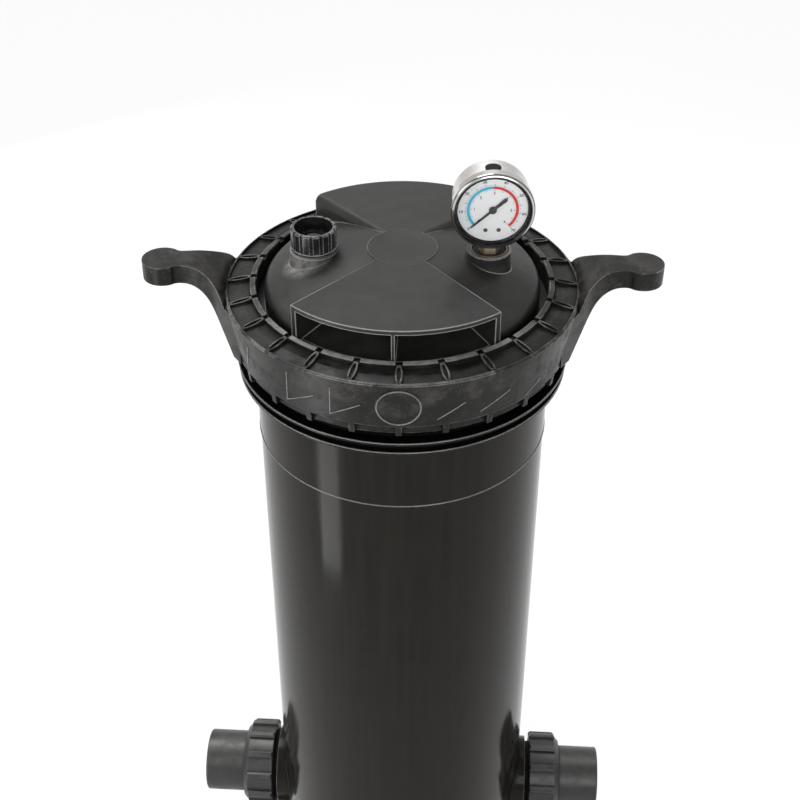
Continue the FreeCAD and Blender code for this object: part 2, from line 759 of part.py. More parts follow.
def lid_dome():
    """Lid with its hoods and bosses; below are the pocket walls and the ribs over the cartridge."""
    rib = Part.makeBox(lid_wall_radius - 2.0 - hold_down_inner, hold_down_thickness,
                       ring_top - cartridge_top,
                       V(hold_down_inner, -hold_down_thickness / 2.0, cartridge_top + seat_gap))
    ribs = around(rib, hold_down_ribs, 180.0 / hold_down_ribs)
    tubs = [pocket_tub(False), pocket_tub(True)]
    bosses = [moved(boss(valve_boss_radius, valve_boss_top), -valve_offset),
              moved(boss(gauge_boss_radius, gauge_boss_top), gauge_offset)]
    room = lid_room().cut(Part.makeCompound(tubs + bosses).fuse(ribs))
    lid = fused(lid_body(), [hood(False), hood(True)] + bosses).cut(room)
    lid = fused(lid, [rod(disc_radius + 1.0, hood_crest - hood_plate, hood_crest)])
    lid = lid.cut(Part.makeCompound([hood_pocket(False), hood_pocket(True)]))
    dish_radius = (disc_radius ** 2 + disc_dish ** 2) / (2.0 * disc_dish)
    dish = Part.makeSphere(dish_radius, V(0, 0, hood_crest - disc_dish + dish_radius))
    valve_hole = rod(relief_body_radius, ring_top - boss_depth, valve_boss_top + 1.0, -valve_offset)
    gauge_hole = rod(stem_thread_radius, ring_top - boss_depth, gauge_boss_top + 1.0, gauge_offset)
    recess = rod(gauge_recess_radius, gauge_boss_top - gauge_recess_depth, gauge_boss_top + 1.0,
                 gauge_offset)
    above = rod(2.0 * disc_radius, hood_crest, hood_crest + dome_rise)
    return lid.cut(dish.fuse([valve_hole, gauge_hole, recess, above]))


def lid_seal():
    return seal_ring(tank_bore + lid_seal_section / 2.0, lid_seal_section - 2.0 * glue_gap,
                     neck_top - lid_seal_section + glue_gap)


# Lock ring

def ring_crest(radius):
    """Height of the sloping top of the ring."""
    return ring_top + ring_crown * (ring_top_radius - radius) / (ring_top_radius - ring_bore)


def ring_blank():
    """Ring before its cavity, channel and notches are cut."""
    rim = ring_top_radius - ring_corner
    inner_top = ring_crest(ring_bore)
    return turned((ring_bore, bearing_under), (ring_foot_radius - 4.0, bearing_under),
                  (ring_foot_radius - 4.0, ring_foot), (ring_foot_radius, ring_foot),
                  (ring_top_radius, ring_top - ring_corner), (rim, ring_crest(rim)),
                  (ring_bore + ring_corner, inner_top), (ring_bore, inner_top - ring_corner))


def arc_into(start_x, start_y, radius, degrees, rise):
    """Middle and end of an arc that leaves (start_x, start_y) towards -X and bends by degrees."""
    points = []
    for part in (0.5, 1.0):
        angle = math.radians(degrees * part)
        x = start_x - radius * math.sin(angle)
        points.append((x, start_y + rise * radius * (1.0 - math.cos(angle))))
    return points


def handle_plan():
    """Outline of a handle from above: round end, waist and the flare into the ring."""
    tip = handle_reach + handle_end_radius
    waist_x = handle_reach - handle_waist
    blend = math.radians(handle_end_blend)
    end_x = handle_reach - handle_end_radius * math.cos(blend)
    end_y = handle_end_radius * math.sin(blend)
    dip_x = (end_x + waist_x) / 2.0
    dip_y = (end_y + handle_neck) / 2.0 - 0.5
    flare_start = waist_x - 1.0
    flare_middle, flare_end = arc_into(flare_start, handle_neck, handle_flare, handle_flare_arc, 1.0)
    root_x = ring_top_radius - handle_root
    root_y = flare_end[1] + (flare_end[0] - root_x) * math.tan(math.radians(handle_flare_arc))
    return face_of(in_plan, (root_x, -root_y), (flare_end[0], -flare_end[1]),
                   ((flare_middle[0], -flare_middle[1]), (flare_start, -handle_neck)),
                   (waist_x, -handle_neck), ((dip_x, -dip_y), (end_x, -end_y)), ((tip, 0), (end_x, end_y)),
                   ((dip_x, dip_y), (waist_x, handle_neck)), (flare_start, handle_neck),
                   (flare_middle, flare_end), (root_x, root_y))


def handle_side():
    """Outline of a handle from the front: flat end and the bend down to the side of the ring."""
    tip = handle_reach + handle_end_radius + 1.0
    top = ring_top + handle_rise
    under = top - handle_thickness
    bend_x = handle_reach - handle_end_radius - 2.8
    under_x = bend_x + 3.0
    root_x = ring_top_radius - handle_root
    top_middle, top_end = arc_into(bend_x, top, handle_top_bend, handle_top_arc, -1.0)
    under_middle, under_end = arc_into(under_x, under, handle_under_bend, handle_under_arc, -1.0)
    drop = (under_end[0] - root_x) * math.tan(math.radians(handle_under_arc))
    return face_of(in_section, (tip, top), (bend_x, top), (top_middle, top_end), (root_x, top_end[1]),
                   (root_x, under_end[1] - drop), under_end, (under_middle, (under_x, under)), (tip, under))


def handle():
    """Goose-neck handle towards +X: its outline from above cut by its outline from the front."""
    half = ring_top_radius
    column = moved(handle_plan(), z=ring_foot).extrude(V(0, 0, ring_height + handle_rise + 1.0))
    slab = moved(handle_side(), y=-half).extrude(V(0, 2.0 * half, 0))
    return column.common(slab)


def ring_cavity():
    """Room inside the skirt for the neck and its lugs, and the hollow under the top."""
    inner_ceiling = ring_top + channel_rise - ring_web
    outer_ceiling = ring_top - channel_drop - ring_web
    return turned((0, bearing_under), (channel_inner, bearing_under), (channel_inner, inner_ceiling),
                  (channel_inner + channel_flat, inner_ceiling), (skirt_bore_top, outer_ceiling),
                  (skirt_bore, ring_lug_top + 1.0), (skirt_bore, ring_foot - 1.0), (0, ring_foot - 1.0))


def lens(inner, outer, half_middle, half_end):
    """Outline from above, wide in the middle and narrow at both ends."""
    middle = (inner + outer) / 2.0
    return face_of(in_plan, (inner, -half_end), ((middle, -half_middle), (outer, -half_end)),
                   (outer, half_end), ((middle, half_middle), (inner, half_end)))


def ring_rib(crest):
    """Lens-shaped rib that crosses the channel in the top of the ring, hollowed from above."""
    inner = channel_inner - 0.8
    outer = channel_outer + 0.8
    low = ring_top - channel_drop - 1.0
    reach = V(0, 0, ring_crown + channel_drop + 2.0)
    body = moved(lens(inner, outer, ring_rib_thickness / 2.0, ring_rib_end / 2.0), z=low).extrude(reach)
    hollow = lens(inner + ring_rib_thickness / 2.0, outer - ring_rib_thickness / 2.0,
                  ring_rib_thickness / 2.0 - rib_hollow_wall, ring_rib_end / 2.0 - rib_hollow_wall / 2.0)
    hollow = moved(hollow, z=low).extrude(reach).cut(moved(crest, z=-rib_hollow_depth))
    return body.common(crest).cut(hollow)


def ring_channel():
    """Channel between the rims, level next to the inner rim and falling to the outer one."""
    inner_floor = ring_top + channel_rise
    high = ring_top + ring_crown + 1.0
    return turned((channel_inner, inner_floor), (channel_inner + channel_flat, inner_floor),
                  (channel_outer, ring_top - channel_drop), (channel_outer, high + handle_rise),
                  (channel_inner, high + handle_rise))


def medallion():
    """Plain disc that stands out of the front of the ring, under its middle rib."""
    disc = Part.makeCylinder(medallion_radius, ring_top_radius + medallion_proud - skirt_bore_top,
                             V(skirt_bore_top, 0, ring_top - medallion_drop), X_AXIS)
    low_face = ring_foot_radius + medallion_proud
    face_cone = turned((low_face - 2.0, ring_foot), (low_face, ring_foot),
                       (ring_top_radius + medallion_proud, ring_top), (ring_top_radius - 3.0, ring_top))
    return spun(disc.common(face_cone), -90.0)


def lock_ring():
    ring = fused(ring_blank(), around(handle(), 2)).cut(ring_cavity())
    crest = turned((0, bearing_under), (ring_top_radius, bearing_under),
                   (ring_top_radius, ring_crest(ring_top_radius)), (0, ring_crest(0)))
    lug = arc_block(skirt_bore + 1.5, neck_radius + ring_lug_gap, ring_lug_top - ring_lug_height,
                    ring_lug_top, lug_arc, 0.0)
    lugs = around(lug, lug_count, lock_turn - ring_rest_turn)
    ring = fused(ring.cut(ring_channel()), around(ring_rib(crest), ring_rib_count) + lugs)
    pitch = 360.0 / ring_rib_count
    notch_arc = pitch - math.degrees(foot_width / ring_foot_radius)
    notch = arc_block(ring_top_radius + 2.0, ring_foot_radius - foot_notch_depth, ring_foot - 1.0,
                      ring_foot + foot_notch_height, notch_arc, pitch / 2.0)
    slot = Part.makeBox(inner_rim_width + 2.0, rim_notch_width, ring_crown,
                        V(ring_bore - 2.0, -rim_notch_width / 2.0, ring_crest(ring_bore) - rim_notch_depth))
    cuts = around(notch, ring_rib_count) + around(slot, ring_rib_count)
    ring = ring.cut(Part.makeCompound(cuts))
    return spun(fused(ring, [medallion()]), ring_rest_turn)


# Air relief valve

def relief_body():
    """Seat screwed into the left boss, with a spout that the knob closes over."""
    low = valve_boss_top - relief_seat_depth
    seat = low + relief_floor
    body = turned((relief_seat_hole, low), (relief_body_radius - running_gap, low),
                  (relief_body_radius - running_gap, valve_boss_top), (relief_spout_radius, valve_boss_top),
                  (relief_spout_radius, spout_top - 0.6), (relief_spout_radius - 0.6, spout_top),
                  (relief_bore, spout_top), (relief_bore, seat), (relief_seat_hole, seat))
    vent = Part.makeCylinder(relief_vent_radius, relief_spout_radius + 2.0,
                             V(0, 0, (valve_boss_top + spout_top) / 2.0), Y_AXIS)
    return moved(body.cut(vent), -valve_offset)


def relief_stem():
    """Spindle under the knob, with its screw head above the knob floor and the seal at its foot."""
    low = valve_boss_top - relief_seat_depth + relief_floor + seat_gap
    neck = relief_stem_radius - relief_seal_section / 2.0
    under_head = valve_boss_top + knob_lift_off + knob_floor_height + seat_gap
    top = under_head + relief_stem_head_height
    stem = turned((0, low), (neck, low), (neck, low + relief_seal_section + glue_gap),
                  (relief_stem_radius, low + relief_seal_section + glue_gap),
                  (relief_stem_radius, under_head), (relief_stem_head, under_head),
                  (relief_stem_head, top - 0.6), (relief_stem_head - 0.6, top), (0, top))
    slot = Part.makeBox(2.0 * relief_stem_head, relief_slot, relief_slot,
                        V(-relief_stem_head, -relief_slot / 2.0, top - relief_slot))
    return moved(stem.cut(slot), -valve_offset)


def relief_seal():
    low = valve_boss_top - relief_seat_depth + relief_floor + running_gap
    return moved(seal_ring(relief_stem_radius + glue_gap, relief_seal_section, low), -valve_offset)


def relief_knob():
    low = valve_boss_top + knob_lift_off
    high = low + knob_height
    floor = low + knob_floor_height
    valley = knob_radius - knob_rib_depth
    cup = knob_radius - knob_wall
    skirt = knob_radius + knob_skirt_step
    knob = turned((relief_spout_radius + seat_gap, low), (skirt, low),
                  (skirt, low + knob_skirt_height - 0.8), (valley, low + knob_skirt_height),
                  (valley, high - 0.9), (valley - 0.9, high), (cup, high), (cup - knob_draft, floor),
                  (relief_stem_radius + running_gap, floor),
                  (relief_stem_radius + running_gap, floor - knob_floor),
                  (relief_spout_radius + seat_gap, floor - knob_floor))
    rib = face_of(in_section, (valley - 0.5, low + 1.0), (knob_radius, low + 1.0), (knob_radius, high - 0.9),
                  (knob_radius - 0.9, high), (valley - 0.5, high))
    arc = math.degrees(knob_rib_width / knob_radius)
    rib = spun(rib, -arc / 2.0).revolve(ORIGIN, Z_AXIS, arc)
    return moved(fused(knob, around(rib, knob_rib_count)), -valve_offset)


# Pressure gauge, built about its own centre and then moved over the right boss

def on_gauge(shape):
    return moved(spun(shape, gauge_turn), gauge_centre.x, gauge_centre.y, gauge_centre.z)


def gauge_case():
    inner = case_radius - case_wall
    can = turned_along_y((0, case_back), (case_radius - case_corner, case_back),
                         (case_radius, case_back - case_corner), (case_radius, -case_front),
                         (inner, -case_front), (inner, case_back - case_corner + case_wall / 2.0),
                         (inner - 0.8 * case_corner, case_back - case_wall), (0, case_back - case_wall))
    stem_hole = rod(stem_block / math.sqrt(2.0) + glue_gap, -case_radius - 1.0, -bourdon_radius)
    plug_hole = rod(plug_neck + glue_gap, 0.8 * case_radius, case_radius + 1.0, 0.0, -plug_offset)
    return on_gauge(can.cut(stem_hole.fuse(plug_hole)))


def gauge_bezel():
    """Crimped ring round the window, with a rolled front edge."""
    back = bezel_overlap - case_front
    inner = case_radius + glue_gap
    return on_gauge(turned_along_y(
        (inner, back), (bezel_radius - 0.8, back), (bezel_radius, back - 0.8),
        (bezel_radius, 2.4 - bezel_front), ((bezel_radius - 0.7, 0.7 - bezel_front),
                                            (bezel_radius - 2.4, -bezel_front)),
        (bezel_lip + 0.5, -bezel_front), (bezel_lip, 0.5 - bezel_front), (bezel_lip, -bezel_back),
        (inner, -bezel_back)))


def gauge_window():
    edge = case_radius - glue_gap
    return on_gauge(turned_along_y((0, -window_front), (edge, -window_front), (edge, -window_back),
                                   (0, -window_back)))


def gauge_gasket():
    """Rubber ring behind the window, which also closes round the edge of the dial."""
    front = glue_gap - window_back
    lip = -case_front - glue_gap
    bore = dial_radius + glue_gap
    step = case_radius - case_wall - glue_gap
    return on_gauge(turned_along_y((bore, front), (case_radius, front), (case_radius, lip), (step, lip),
                                   (step, -dial_back), (bore, -dial_back)))


def dial_screw_places():
    return [(dial_screw_spread * side, -dial_screw_drop) for side in (-1, 1)]


def gauge_dial():
    dial = turned_along_y((dial_hole, -dial_depth), (dial_radius, -dial_depth), (dial_radius, -dial_back),
                          (dial_hole, -dial_back))
    holes = [Part.makeCylinder(dial_screw_radius / 2.0 + glue_gap, 4.0, V(x, -dial_depth - 2.0, z), Y_AXIS)
             for x, z in dial_screw_places()]
    return on_gauge(dial.cut(Part.makeCompound(holes)))


def dial_screws():
    screws = []
    for x, z in dial_screw_places():
        head = turned_along_y((0, -0.9), (0.9, -0.9), (dial_screw_radius, -0.2), (dial_screw_radius, 0),
                              (0, 0))
        shank = Part.makeCylinder(dial_screw_radius / 2.0, dial_thickness + 1.6, ORIGIN, Y_AXIS)
        screws.append(moved(head.fuse(shank), x, -dial_depth, z))
    return on_gauge(Part.makeCompound(screws))


def gauge_pointer():
    """Pointer, hub and the arbor that carries it through the dial, at its zero stop."""
    half = pointer_width / 2.0
    tip = pointer_tip_width / 2.0
    tail = pointer_tail_width / 2.0
    blade = face_of(in_section, (pointer_reach, tip), (pointer_reach, -tip), (pointer_hub_radius, -half),
                    (-pointer_tail, -tail), (-pointer_tail, tail), (pointer_hub_radius, half))
    blade = moved(blade, y=-pointer_back - pointer_thickness).extrude(V(0, pointer_thickness, 0))
    arbor_end = arbor_length - dial_back
    hub = turned_along_y((0, -hub_front), (pointer_hub_radius - 0.4, -hub_front),
                         (pointer_hub_radius, 0.4 - hub_front), (pointer_hub_radius, 0.3 - pointer_back),
                         (arbor_radius, 0.3 - pointer_back), (arbor_radius, arbor_end), (0, arbor_end))
    return on_gauge(spun(fused(hub, [blade]), -pointer_zero, Y_AXIS))


def gauge_movement():
    """Two plates on pillars behind the dial, with the pivot hole of the arbor."""
    front = movement_plate - dial_back
    back = front + movement_depth
    pivot = arbor_radius + running_gap
    plate = turned_along_y((pivot, front), (movement_radius, front),
                           (movement_radius, front + movement_plate), (pivot, front + movement_plate))
    rear_front = back - movement_plate
    rear = turned_along_y((0, rear_front), (movement_radius, rear_front), (movement_radius, back), (0, back))
    pillars = [Part.makeCylinder(1.3, back - front, V(x, front, z), Y_AXIS)
               for x, z in ((-6.0, 3.0), (6.0, 3.0), (0.0, -6.5))]
    feet = [Part.makeCylinder(1.3, front + dial_back + 1.0, V(x, -dial_back, 3.0 - movement_radius), Y_AXIS)
            for x in (-4.0, 4.0)]
    carrier = Part.makeBox(8.0, back - front - 2.0, bourdon_radius - movement_radius + 3.0,
                           V(-4.0, front + 1.0, 1.0 - bourdon_radius + 3.0))
    return on_gauge(fused(plate, [rear, carrier] + pillars + feet))


def bourdon_tube():
    """Flattened tube bent round the movement, fixed in the stem block at its lower end."""
    half = bourdon_section / 2.0
    inner = bourdon_radius - half
    outer = bourdon_radius + half
    face = face_of(in_plan, (inner, -2.4), ((bourdon_radius, -3.0), (outer, -2.4)), (outer, 2.4),
                   ((bourdon_radius, 3.0), (inner, 2.4)))
    face = moved(face, y=-1.4)
    start = 90.0 + math.degrees(math.asin((stem_block / 2.0 + glue_gap) / inner))
    tube = spun(face, start, Y_AXIS).revolve(ORIGIN, Y_AXIS, bourdon_arc)
    return on_gauge(tube)


def gauge_stem():
    """Brass socket: thread, hexagon and the block inside the case that holds the tube."""
    washer_top = gauge_boss_top - gauge_recess_depth + gauge_washer_thickness
    case_low = gauge_centre.z - case_radius
    thread = rod(stem_thread_radius - running_gap,
                 washer_top - stem_thread_length - gauge_washer_thickness, washer_top)
    nut = hexagon(stem_hex, washer_top, case_low - 2.6)
    flange = rod(stem_hex / 2.0, case_low - 2.6, case_low - 0.6)
    block = Part.makeBox(stem_block, 7.0, case_radius - bourdon_radius + 3.2,
                         V(-stem_block / 2.0, -5.0, case_low - 0.8))
    return moved(spun(fused(thread, [nut, flange, block]), gauge_turn), gauge_offset)


def gauge_washer():
    low = gauge_boss_top - gauge_recess_depth
    washer = sleeve(gauge_washer_radius, stem_thread_radius + glue_gap, low, low + gauge_washer_thickness)
    return moved(washer, gauge_offset)


def fill_plug():
    """Rubber stopper in the top of the gauge case, with a flange and a small pull nib."""
    low = case_radius - 3.0
    under = case_radius + glue_gap
    top = under + 1.2
    plug = turned((0, low), (plug_neck - 0.6, low), (plug_neck, low + 0.8), (plug_neck, under),
                  (plug_radius, under), (plug_radius, top - 0.6), (plug_radius - 1.2, top),
                  (1.2, top), (0.9, top + 0.2), (0, top + 0.2))
    return on_gauge(moved(plug, y=-plug_offset))


# Cartridge

def end_cap():
    """Moulded pan that the pleats are potted into, open side up, with its hole for the pipe."""
    floor = cap_floor
    bore = pipe_radius + cartridge_seal_wall
    inner_rim = core_radius - core_wall - glue_gap
    return turned((bore, 0), (cartridge_radius - cap_corner, 0), (cartridge_radius, cap_corner),
                  (cartridge_radius, cap_height), (cartridge_radius - cap_rim, cap_height),
                  (cartridge_radius - cap_rim, floor), (inner_rim, floor), (inner_rim, cap_height),
                  (bore, cap_height))


def bottom_cap():
    return moved(end_cap(), z=cartridge_seat_height)


def top_cap():
    """Closed cap with a recessed grip bar for pulling the cartridge out."""
    wall = core_radius - core_wall - glue_gap
    rim = cartridge_radius - cap_rim
    deep = -grip_recess_depth
    lowest = deep - grip_recess_floor
    cap = turned((0, lowest), (wall - grip_recess_floor, lowest), (wall, deep), (wall, -cap_floor),
                 (rim, -cap_floor), (rim, -cap_height), (cartridge_radius, -cap_height),
                 (cartridge_radius, -cap_corner), (cartridge_radius - cap_corner, 0), (0, 0))
    recess = turned((0, deep), (grip_recess_radius - 2.0, deep), (grip_recess_radius, 1.0), (0, 1.0))
    bar = Part.makeBox(2.0 * grip_recess_radius, grip_bar_width, grip_recess_depth + 2.0,
                       V(-grip_recess_radius, -grip_bar_width / 2.0, deep - 1.0))
    bar = bar.common(rod(grip_recess_radius + 0.5, deep - 1.0, 0))
    grip_room = Part.makeBox(grip_recess_radius, grip_bar_width + 2.0, 5.0,
                             V(-grip_recess_radius / 2.0, -grip_bar_width / 2.0 - 1.0, deep))
    return moved(fused(cap.cut(recess), [bar]).cut(grip_room), z=cartridge_top)


def media_low():
    return cartridge_seat_height + cap_floor


def media_high():
    return cartridge_top - cap_floor


def filter_media():
    """Pleated sheet: one closed zigzag, its inside a wall thickness in from its outside."""
    def zigzag(outer, inner, lead):
        points = []
        for i in range(pleat_count):
            for part, radius in ((0.0, outer), (0.5, inner)):
                angle = 2.0 * math.pi * (i + part) / pleat_count
                points.append(V(radius * math.cos(angle), radius * math.sin(angle), 0))
                far = angle + lead * (1.0 if part == 0.0 else inner_lead)
                points.append(V(radius * math.cos(far), radius * math.sin(far), 0))
        return Part.Wire(Part.makePolygon(points + points[:1]))
    inner_lead = media_radius / media_bore * 0.7
    fold = math.radians(0.9)
    outside = Part.Face(zigzag(media_radius, media_bore + media_thickness, fold))
    inside = outside.makeOffset2D(-media_thickness, 2)
    return moved(outside.cut(inside), z=media_low()).extrude(V(0, 0, media_high() - media_low()))


def cartridge_core():
    """Perforated tube that holds the pleats from inside."""
    low = media_low()
    high = media_high()
    tube = sleeve(core_radius, core_radius - core_wall, low, high)
    pitch = (high - low) / core_slot_rows
    slots = []
    for row in range(core_slot_rows):
        middle = low + pitch * (row + 0.5)
        slot = arc_block(core_radius + 1.0, core_radius - core_wall - 1.0, middle - core_slot_height / 2.0,
                         middle + core_slot_height / 2.0, core_slot_arc, 0.0)
        slots += around(slot, core_slot_columns, 30.0 * (row % 2))
    return tube.cut(Part.makeCompound(slots))


def cartridge_seal():
    """Rubber bush in the bottom cap that slides over the standpipe."""
    outer = pipe_radius + cartridge_seal_wall - glue_gap
    low = cartridge_seat_height
    bore = pipe_radius + running_gap
    return turned((bore, low + 2.0), (bore + 1.0, low), (outer, low), (outer, low + cap_height),
                  (bore, low + cap_height))


def save(name, shape):
    shape.exportStep("parts/" + name + ".step")


def main():
    os.makedirs("parts", exist_ok=True)
    save("base_stand", base_stand())
    save("base_screws", base_screws())
    save("tank_shell", tank_shell())
    save("outlet_pipe", outlet_pipe())
    save("inlet_diffuser", inlet_diffuser())
    for side, turn in (("outlet", 0), ("inlet", 180)):
        save(side + "_union_seal", spun(union_seal(), turn))
        save(side + "_union_tail", spun(union_tail(), turn))
        save(side + "_union_nut", spun(union_nut(), turn))
    save("drain_plug", drain_plug())
    save("drain_seal", drain_seal())
    save("lid_dome", lid_dome())
    save("lid_seal", lid_seal())
    save("lock_ring", lock_ring())
    save("relief_body", relief_body())
    save("relief_stem", relief_stem())
    save("relief_seal", relief_seal())
    save("relief_knob", relief_knob())
    save("gauge_stem", gauge_stem())
    save("gauge_washer", gauge_washer())
    save("gauge_case", gauge_case())
    save("gauge_bezel", gauge_bezel())
    save("gauge_window", gauge_window())
    save("gauge_gasket", gauge_gasket())
    save("gauge_dial", gauge_dial())
    save("dial_screws", dial_screws())
    save("gauge_pointer", gauge_pointer())
    save("gauge_movement", gauge_movement())
    save("bourdon_tube", bourdon_tube())
    save("fill_plug", fill_plug())
    save("filter_media", filter_media())
    save("cartridge_core", cartridge_core())
    save("top_cap", top_cap())
    save("bottom_cap", bottom_cap())
    save("cartridge_seal", cartridge_seal())


main()
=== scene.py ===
import math

import bmesh
import bpy
from mathutils import Matrix, Vector


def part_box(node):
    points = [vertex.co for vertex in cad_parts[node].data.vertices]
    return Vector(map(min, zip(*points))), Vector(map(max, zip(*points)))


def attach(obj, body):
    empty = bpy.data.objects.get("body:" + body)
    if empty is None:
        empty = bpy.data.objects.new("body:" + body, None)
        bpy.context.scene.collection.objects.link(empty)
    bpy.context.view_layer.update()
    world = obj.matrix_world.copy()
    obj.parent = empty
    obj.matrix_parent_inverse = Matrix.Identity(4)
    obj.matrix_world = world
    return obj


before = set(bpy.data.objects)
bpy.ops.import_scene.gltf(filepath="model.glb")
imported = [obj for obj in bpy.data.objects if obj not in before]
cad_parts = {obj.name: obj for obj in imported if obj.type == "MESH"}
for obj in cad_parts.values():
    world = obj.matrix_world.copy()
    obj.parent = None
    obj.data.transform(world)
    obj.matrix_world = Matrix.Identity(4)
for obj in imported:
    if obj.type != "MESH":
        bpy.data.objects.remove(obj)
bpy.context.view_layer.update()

MM = 0.001

# The photograph's camera
LENS = 63.45                 # mm
SENSOR_WIDTH = 36.0          # mm
CAMERA_DISTANCE = 1.100
CAMERA_TURN = 3.5            # degrees round the tank axis, towards +X
CAMERA_ELEVATION = 36.6
TARGET_SIDE = -0.0017        # beside the tank axis, across the view
TARGET_BELOW_RING = 0.10788  # below the top edge of the lock ring

# Lock ring
RING_HEIGHT = 46.0 * MM
RING_TOP_RADIUS = 130.0 * MM
RING_FOOT_RADIUS = 124.6 * MM
RING_SLOPE = (RING_TOP_RADIUS - RING_FOOT_RADIUS) / RING_HEIGHT
CHANNEL_IN = (1.6 * MM, 2.6 * MM)      # inwards from the top edge, where the channel's looks begin
CHANNEL_UP = (1.3 * MM, 0.5 * MM)      # above the top edge, below which the channel gets painted shade
CREST_UP = (3.2 * MM, 4.3 * MM)        # above the top edge, over which the inner crest gets a painted highlight
CHANNEL_SHADE_FRONT = (-30.0 * MM, -80.0 * MM)  # along Y, where the channel's painted shade gets darker towards the front
CREST_FRONT = (-40.0 * MM, -90.0 * MM)  # along Y, where the crest's painted highlight gets stronger towards the front
MEDALLION_TURN = -87.7       # degrees from +X
MEDALLION_DROP = 19.5 * MM
MEDALLION_RADIUS = 15.8 * MM
MEDALLION_PROUD = 0.9 * MM
MEDALLION_RIM = 1.1 * MM     # width of its raised rim
MEDALLION_RIM_HEIGHT = 0.6 * MM
MEDALLION_RIM_INSET = 0.2 * MM
MARK_WIDTH = 1.0 * MM
MARK_HEIGHT = 0.45 * MM
MARK_SINK = 0.4 * MM         # how far a raised stroke starts inside the ring
MARK_STEPS = 10              # pieces of each straight part of a stroke
# Raised strokes on the side of the ring: degrees from +X, mm below its top edge
RING_MARKS = (
    ((-143.7, 9.8), (-147.0, 33.3)),
    ((-124.2, 7.6), (-125.75, 34.3), (-114.7, 20.5)),
    ((-108.8, 8.3), (-109.6, 33.0), (-99.45, 19.6)),
    ((-75.7, 32.2), (-66.95, 20.2)),
    ((-61.55, 32.4), (-51.25, 21.4)),
    ((-43.8, 35.2), (-37.25, 26.7)),
)

# Tank, with drops measured from the foot of the lock ring
BAND_RADIUS = 111.2 * MM
BAND_DROP = 75.7 * MM
UPPER_RIM_RADIUS = 124.2 * MM
UPPER_RIM_DROP = 7.5 * MM
LOWER_RIM_RADIUS = 123.3 * MM
LOWER_RIM_DROP = 16.1 * MM
FLANGE_DROPS = (24.0 * MM, 22.0 * MM)  # the painted shade on the flange under the lock ring begins and is full
FLANGE_OUT = (1.0 * MM, 2.0 * MM)      # the same, outwards from the band
LIP_ROLL = 0.55 * MM         # radius of the rolled edges of the band and the flange rims
BAND_LIP_SINK = 0.2          # how far the band's one lies inside it, as a share of LIP_ROLL
RIM_LIP_SINK = 0.75          # the same for the flange rims

# Lid
DISC_REACH = 45.0 * MM       # edges nearer to the axis than this keep only their plain wear and painted highlight
HOOD_REACH = 80.0 * MM       # edges beyond this get the extra painted highlight in full
HIGHLIGHT_SPOT = (-5.0 * MM, -7.0 * MM, -9.0 * MM)    # from the middle of the relief knob's foot
HIGHLIGHT_CORE = 11.0 * MM      # the painted highlight is full this near to the spot
HIGHLIGHT_REACH = 22.0 * MM     # and plain beyond this

# Gauge dial
GAUGE_TURN = 5.0             # degrees that the gauge faces towards +X
DIAL_THICKNESS = 0.8 * MM
DIAL_ZERO = 222.0            # degrees from the right, seen from the front
DIAL_SWEEP = 270.0
ARC_RADIUS = 17.2 * MM
ARC_WIDTH = 2.0 * MM
PRINT_LIFT = 0.05 * MM       # printed ink above the dial plate
SAFE_SHARE = 132.0 / 270.0   # share of the sweep that is marked blue
# Each scale: labels, their radius and size in mm, short tick from and to, long tick from and to
DIAL_SCALES = (
    ([str(value) for value in range(0, 80, 10)], 22.3, 3.1, (18.5, 19.6), (18.5, 20.3)),
    ([str(value) for value in range(0, 7)], 12.9, 3.0, (15.2, 15.9), (14.7, 15.9)),
)
NUMBER_WEIGHT = 0.02         # how much the numbers' strokes are thickened, as a share of their size
TICKS_PER_LABEL = 10
LONG_TICK_EVERY = 5
SHORT_TICK_WIDTH = 0.20 * MM
LONG_TICK_WIDTH = 0.34 * MM
BEZEL_LIP = 26.0 * MM
BEZEL_SHADE = 27.9 * MM      # painted shade on the bezel between its lip and this radius
BEZEL_GROOVE = 28.95 * MM    # and a painted dark reflection along the crimp at this one

# Lamps and backdrop
SUN_STRENGTH = 1.85
SUN_SIZE = 32.0              # degrees across
SUN_TILT = (-20.0, -16.0, 0.0)
# Each lamp: name, place, aim, width, height, watts, whether glossy surfaces mirror it
LAMPS = (
    ("left_strip", (-0.430, -0.340, 0.22), (0.0, 0.0, 0.22), 0.16, 0.42, 0.80, True),
    ("left_box", (-1.20, -0.80, 1.2), (0.0, 0.0, 0.6), 1.3, 0.8, 8.5, True),
    ("front_box", (0.45, -1.5, 1.1), (0.0, 0.0, 0.65), 1.0, 0.8, 9.5, True),
    ("top_back", (-0.1, 1.15, 1.65), (0.0, 0.0, 0.62), 1.3, 0.6, 1.0, True),
    ("back_left", (-1.0, 1.3, 0.55), (0.0, 0.0, 0.5), 0.9, 0.9, 12.0, False),
    ("back_right", (1.3, 0.9, 0.55), (0.0, 0.0, 0.5), 0.9, 0.9, 12.0, False),
)
FLOOR_SIZE = 14.0
FLOOR_WHITENING = 0.85       # share of plain white in the floor as it is seen
SKY_LIGHT = 0.25             # strength of the world as a light
SKY_SEEN = 1.0               # strength of the world as a backdrop
SKY_MIRRORED = 0.68          # strength of the world in glossy reflections

# Colours that several finishes share
DUST_GREY = (0.15, 0.145, 0.135)
# Colour of the ring's worn edges and of its painted highlights
RING_WORN_AND_HIGHLIGHT = (0.38, 0.375, 0.35)


def ring_foot():
    """Height of the lock ring's foot."""
    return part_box("lock_ring")[0].z


def ring_top():
    """Height of the outer edge of the lock ring's top."""
    return ring_foot() + RING_HEIGHT


def gauge_axis():
    """The way the gauge faces, and the way to the right as it is read."""
    turn = math.radians(GAUGE_TURN)
    facing = Vector((math.sin(turn), -math.cos(turn), 0.0))
    return facing, Vector((math.cos(turn), math.sin(turn), 0.0))


GAUGE_AXIS = tuple(gauge_axis()[0])
UPRIGHT = (0.0, 0.0, 1.0)


# Shader nodes

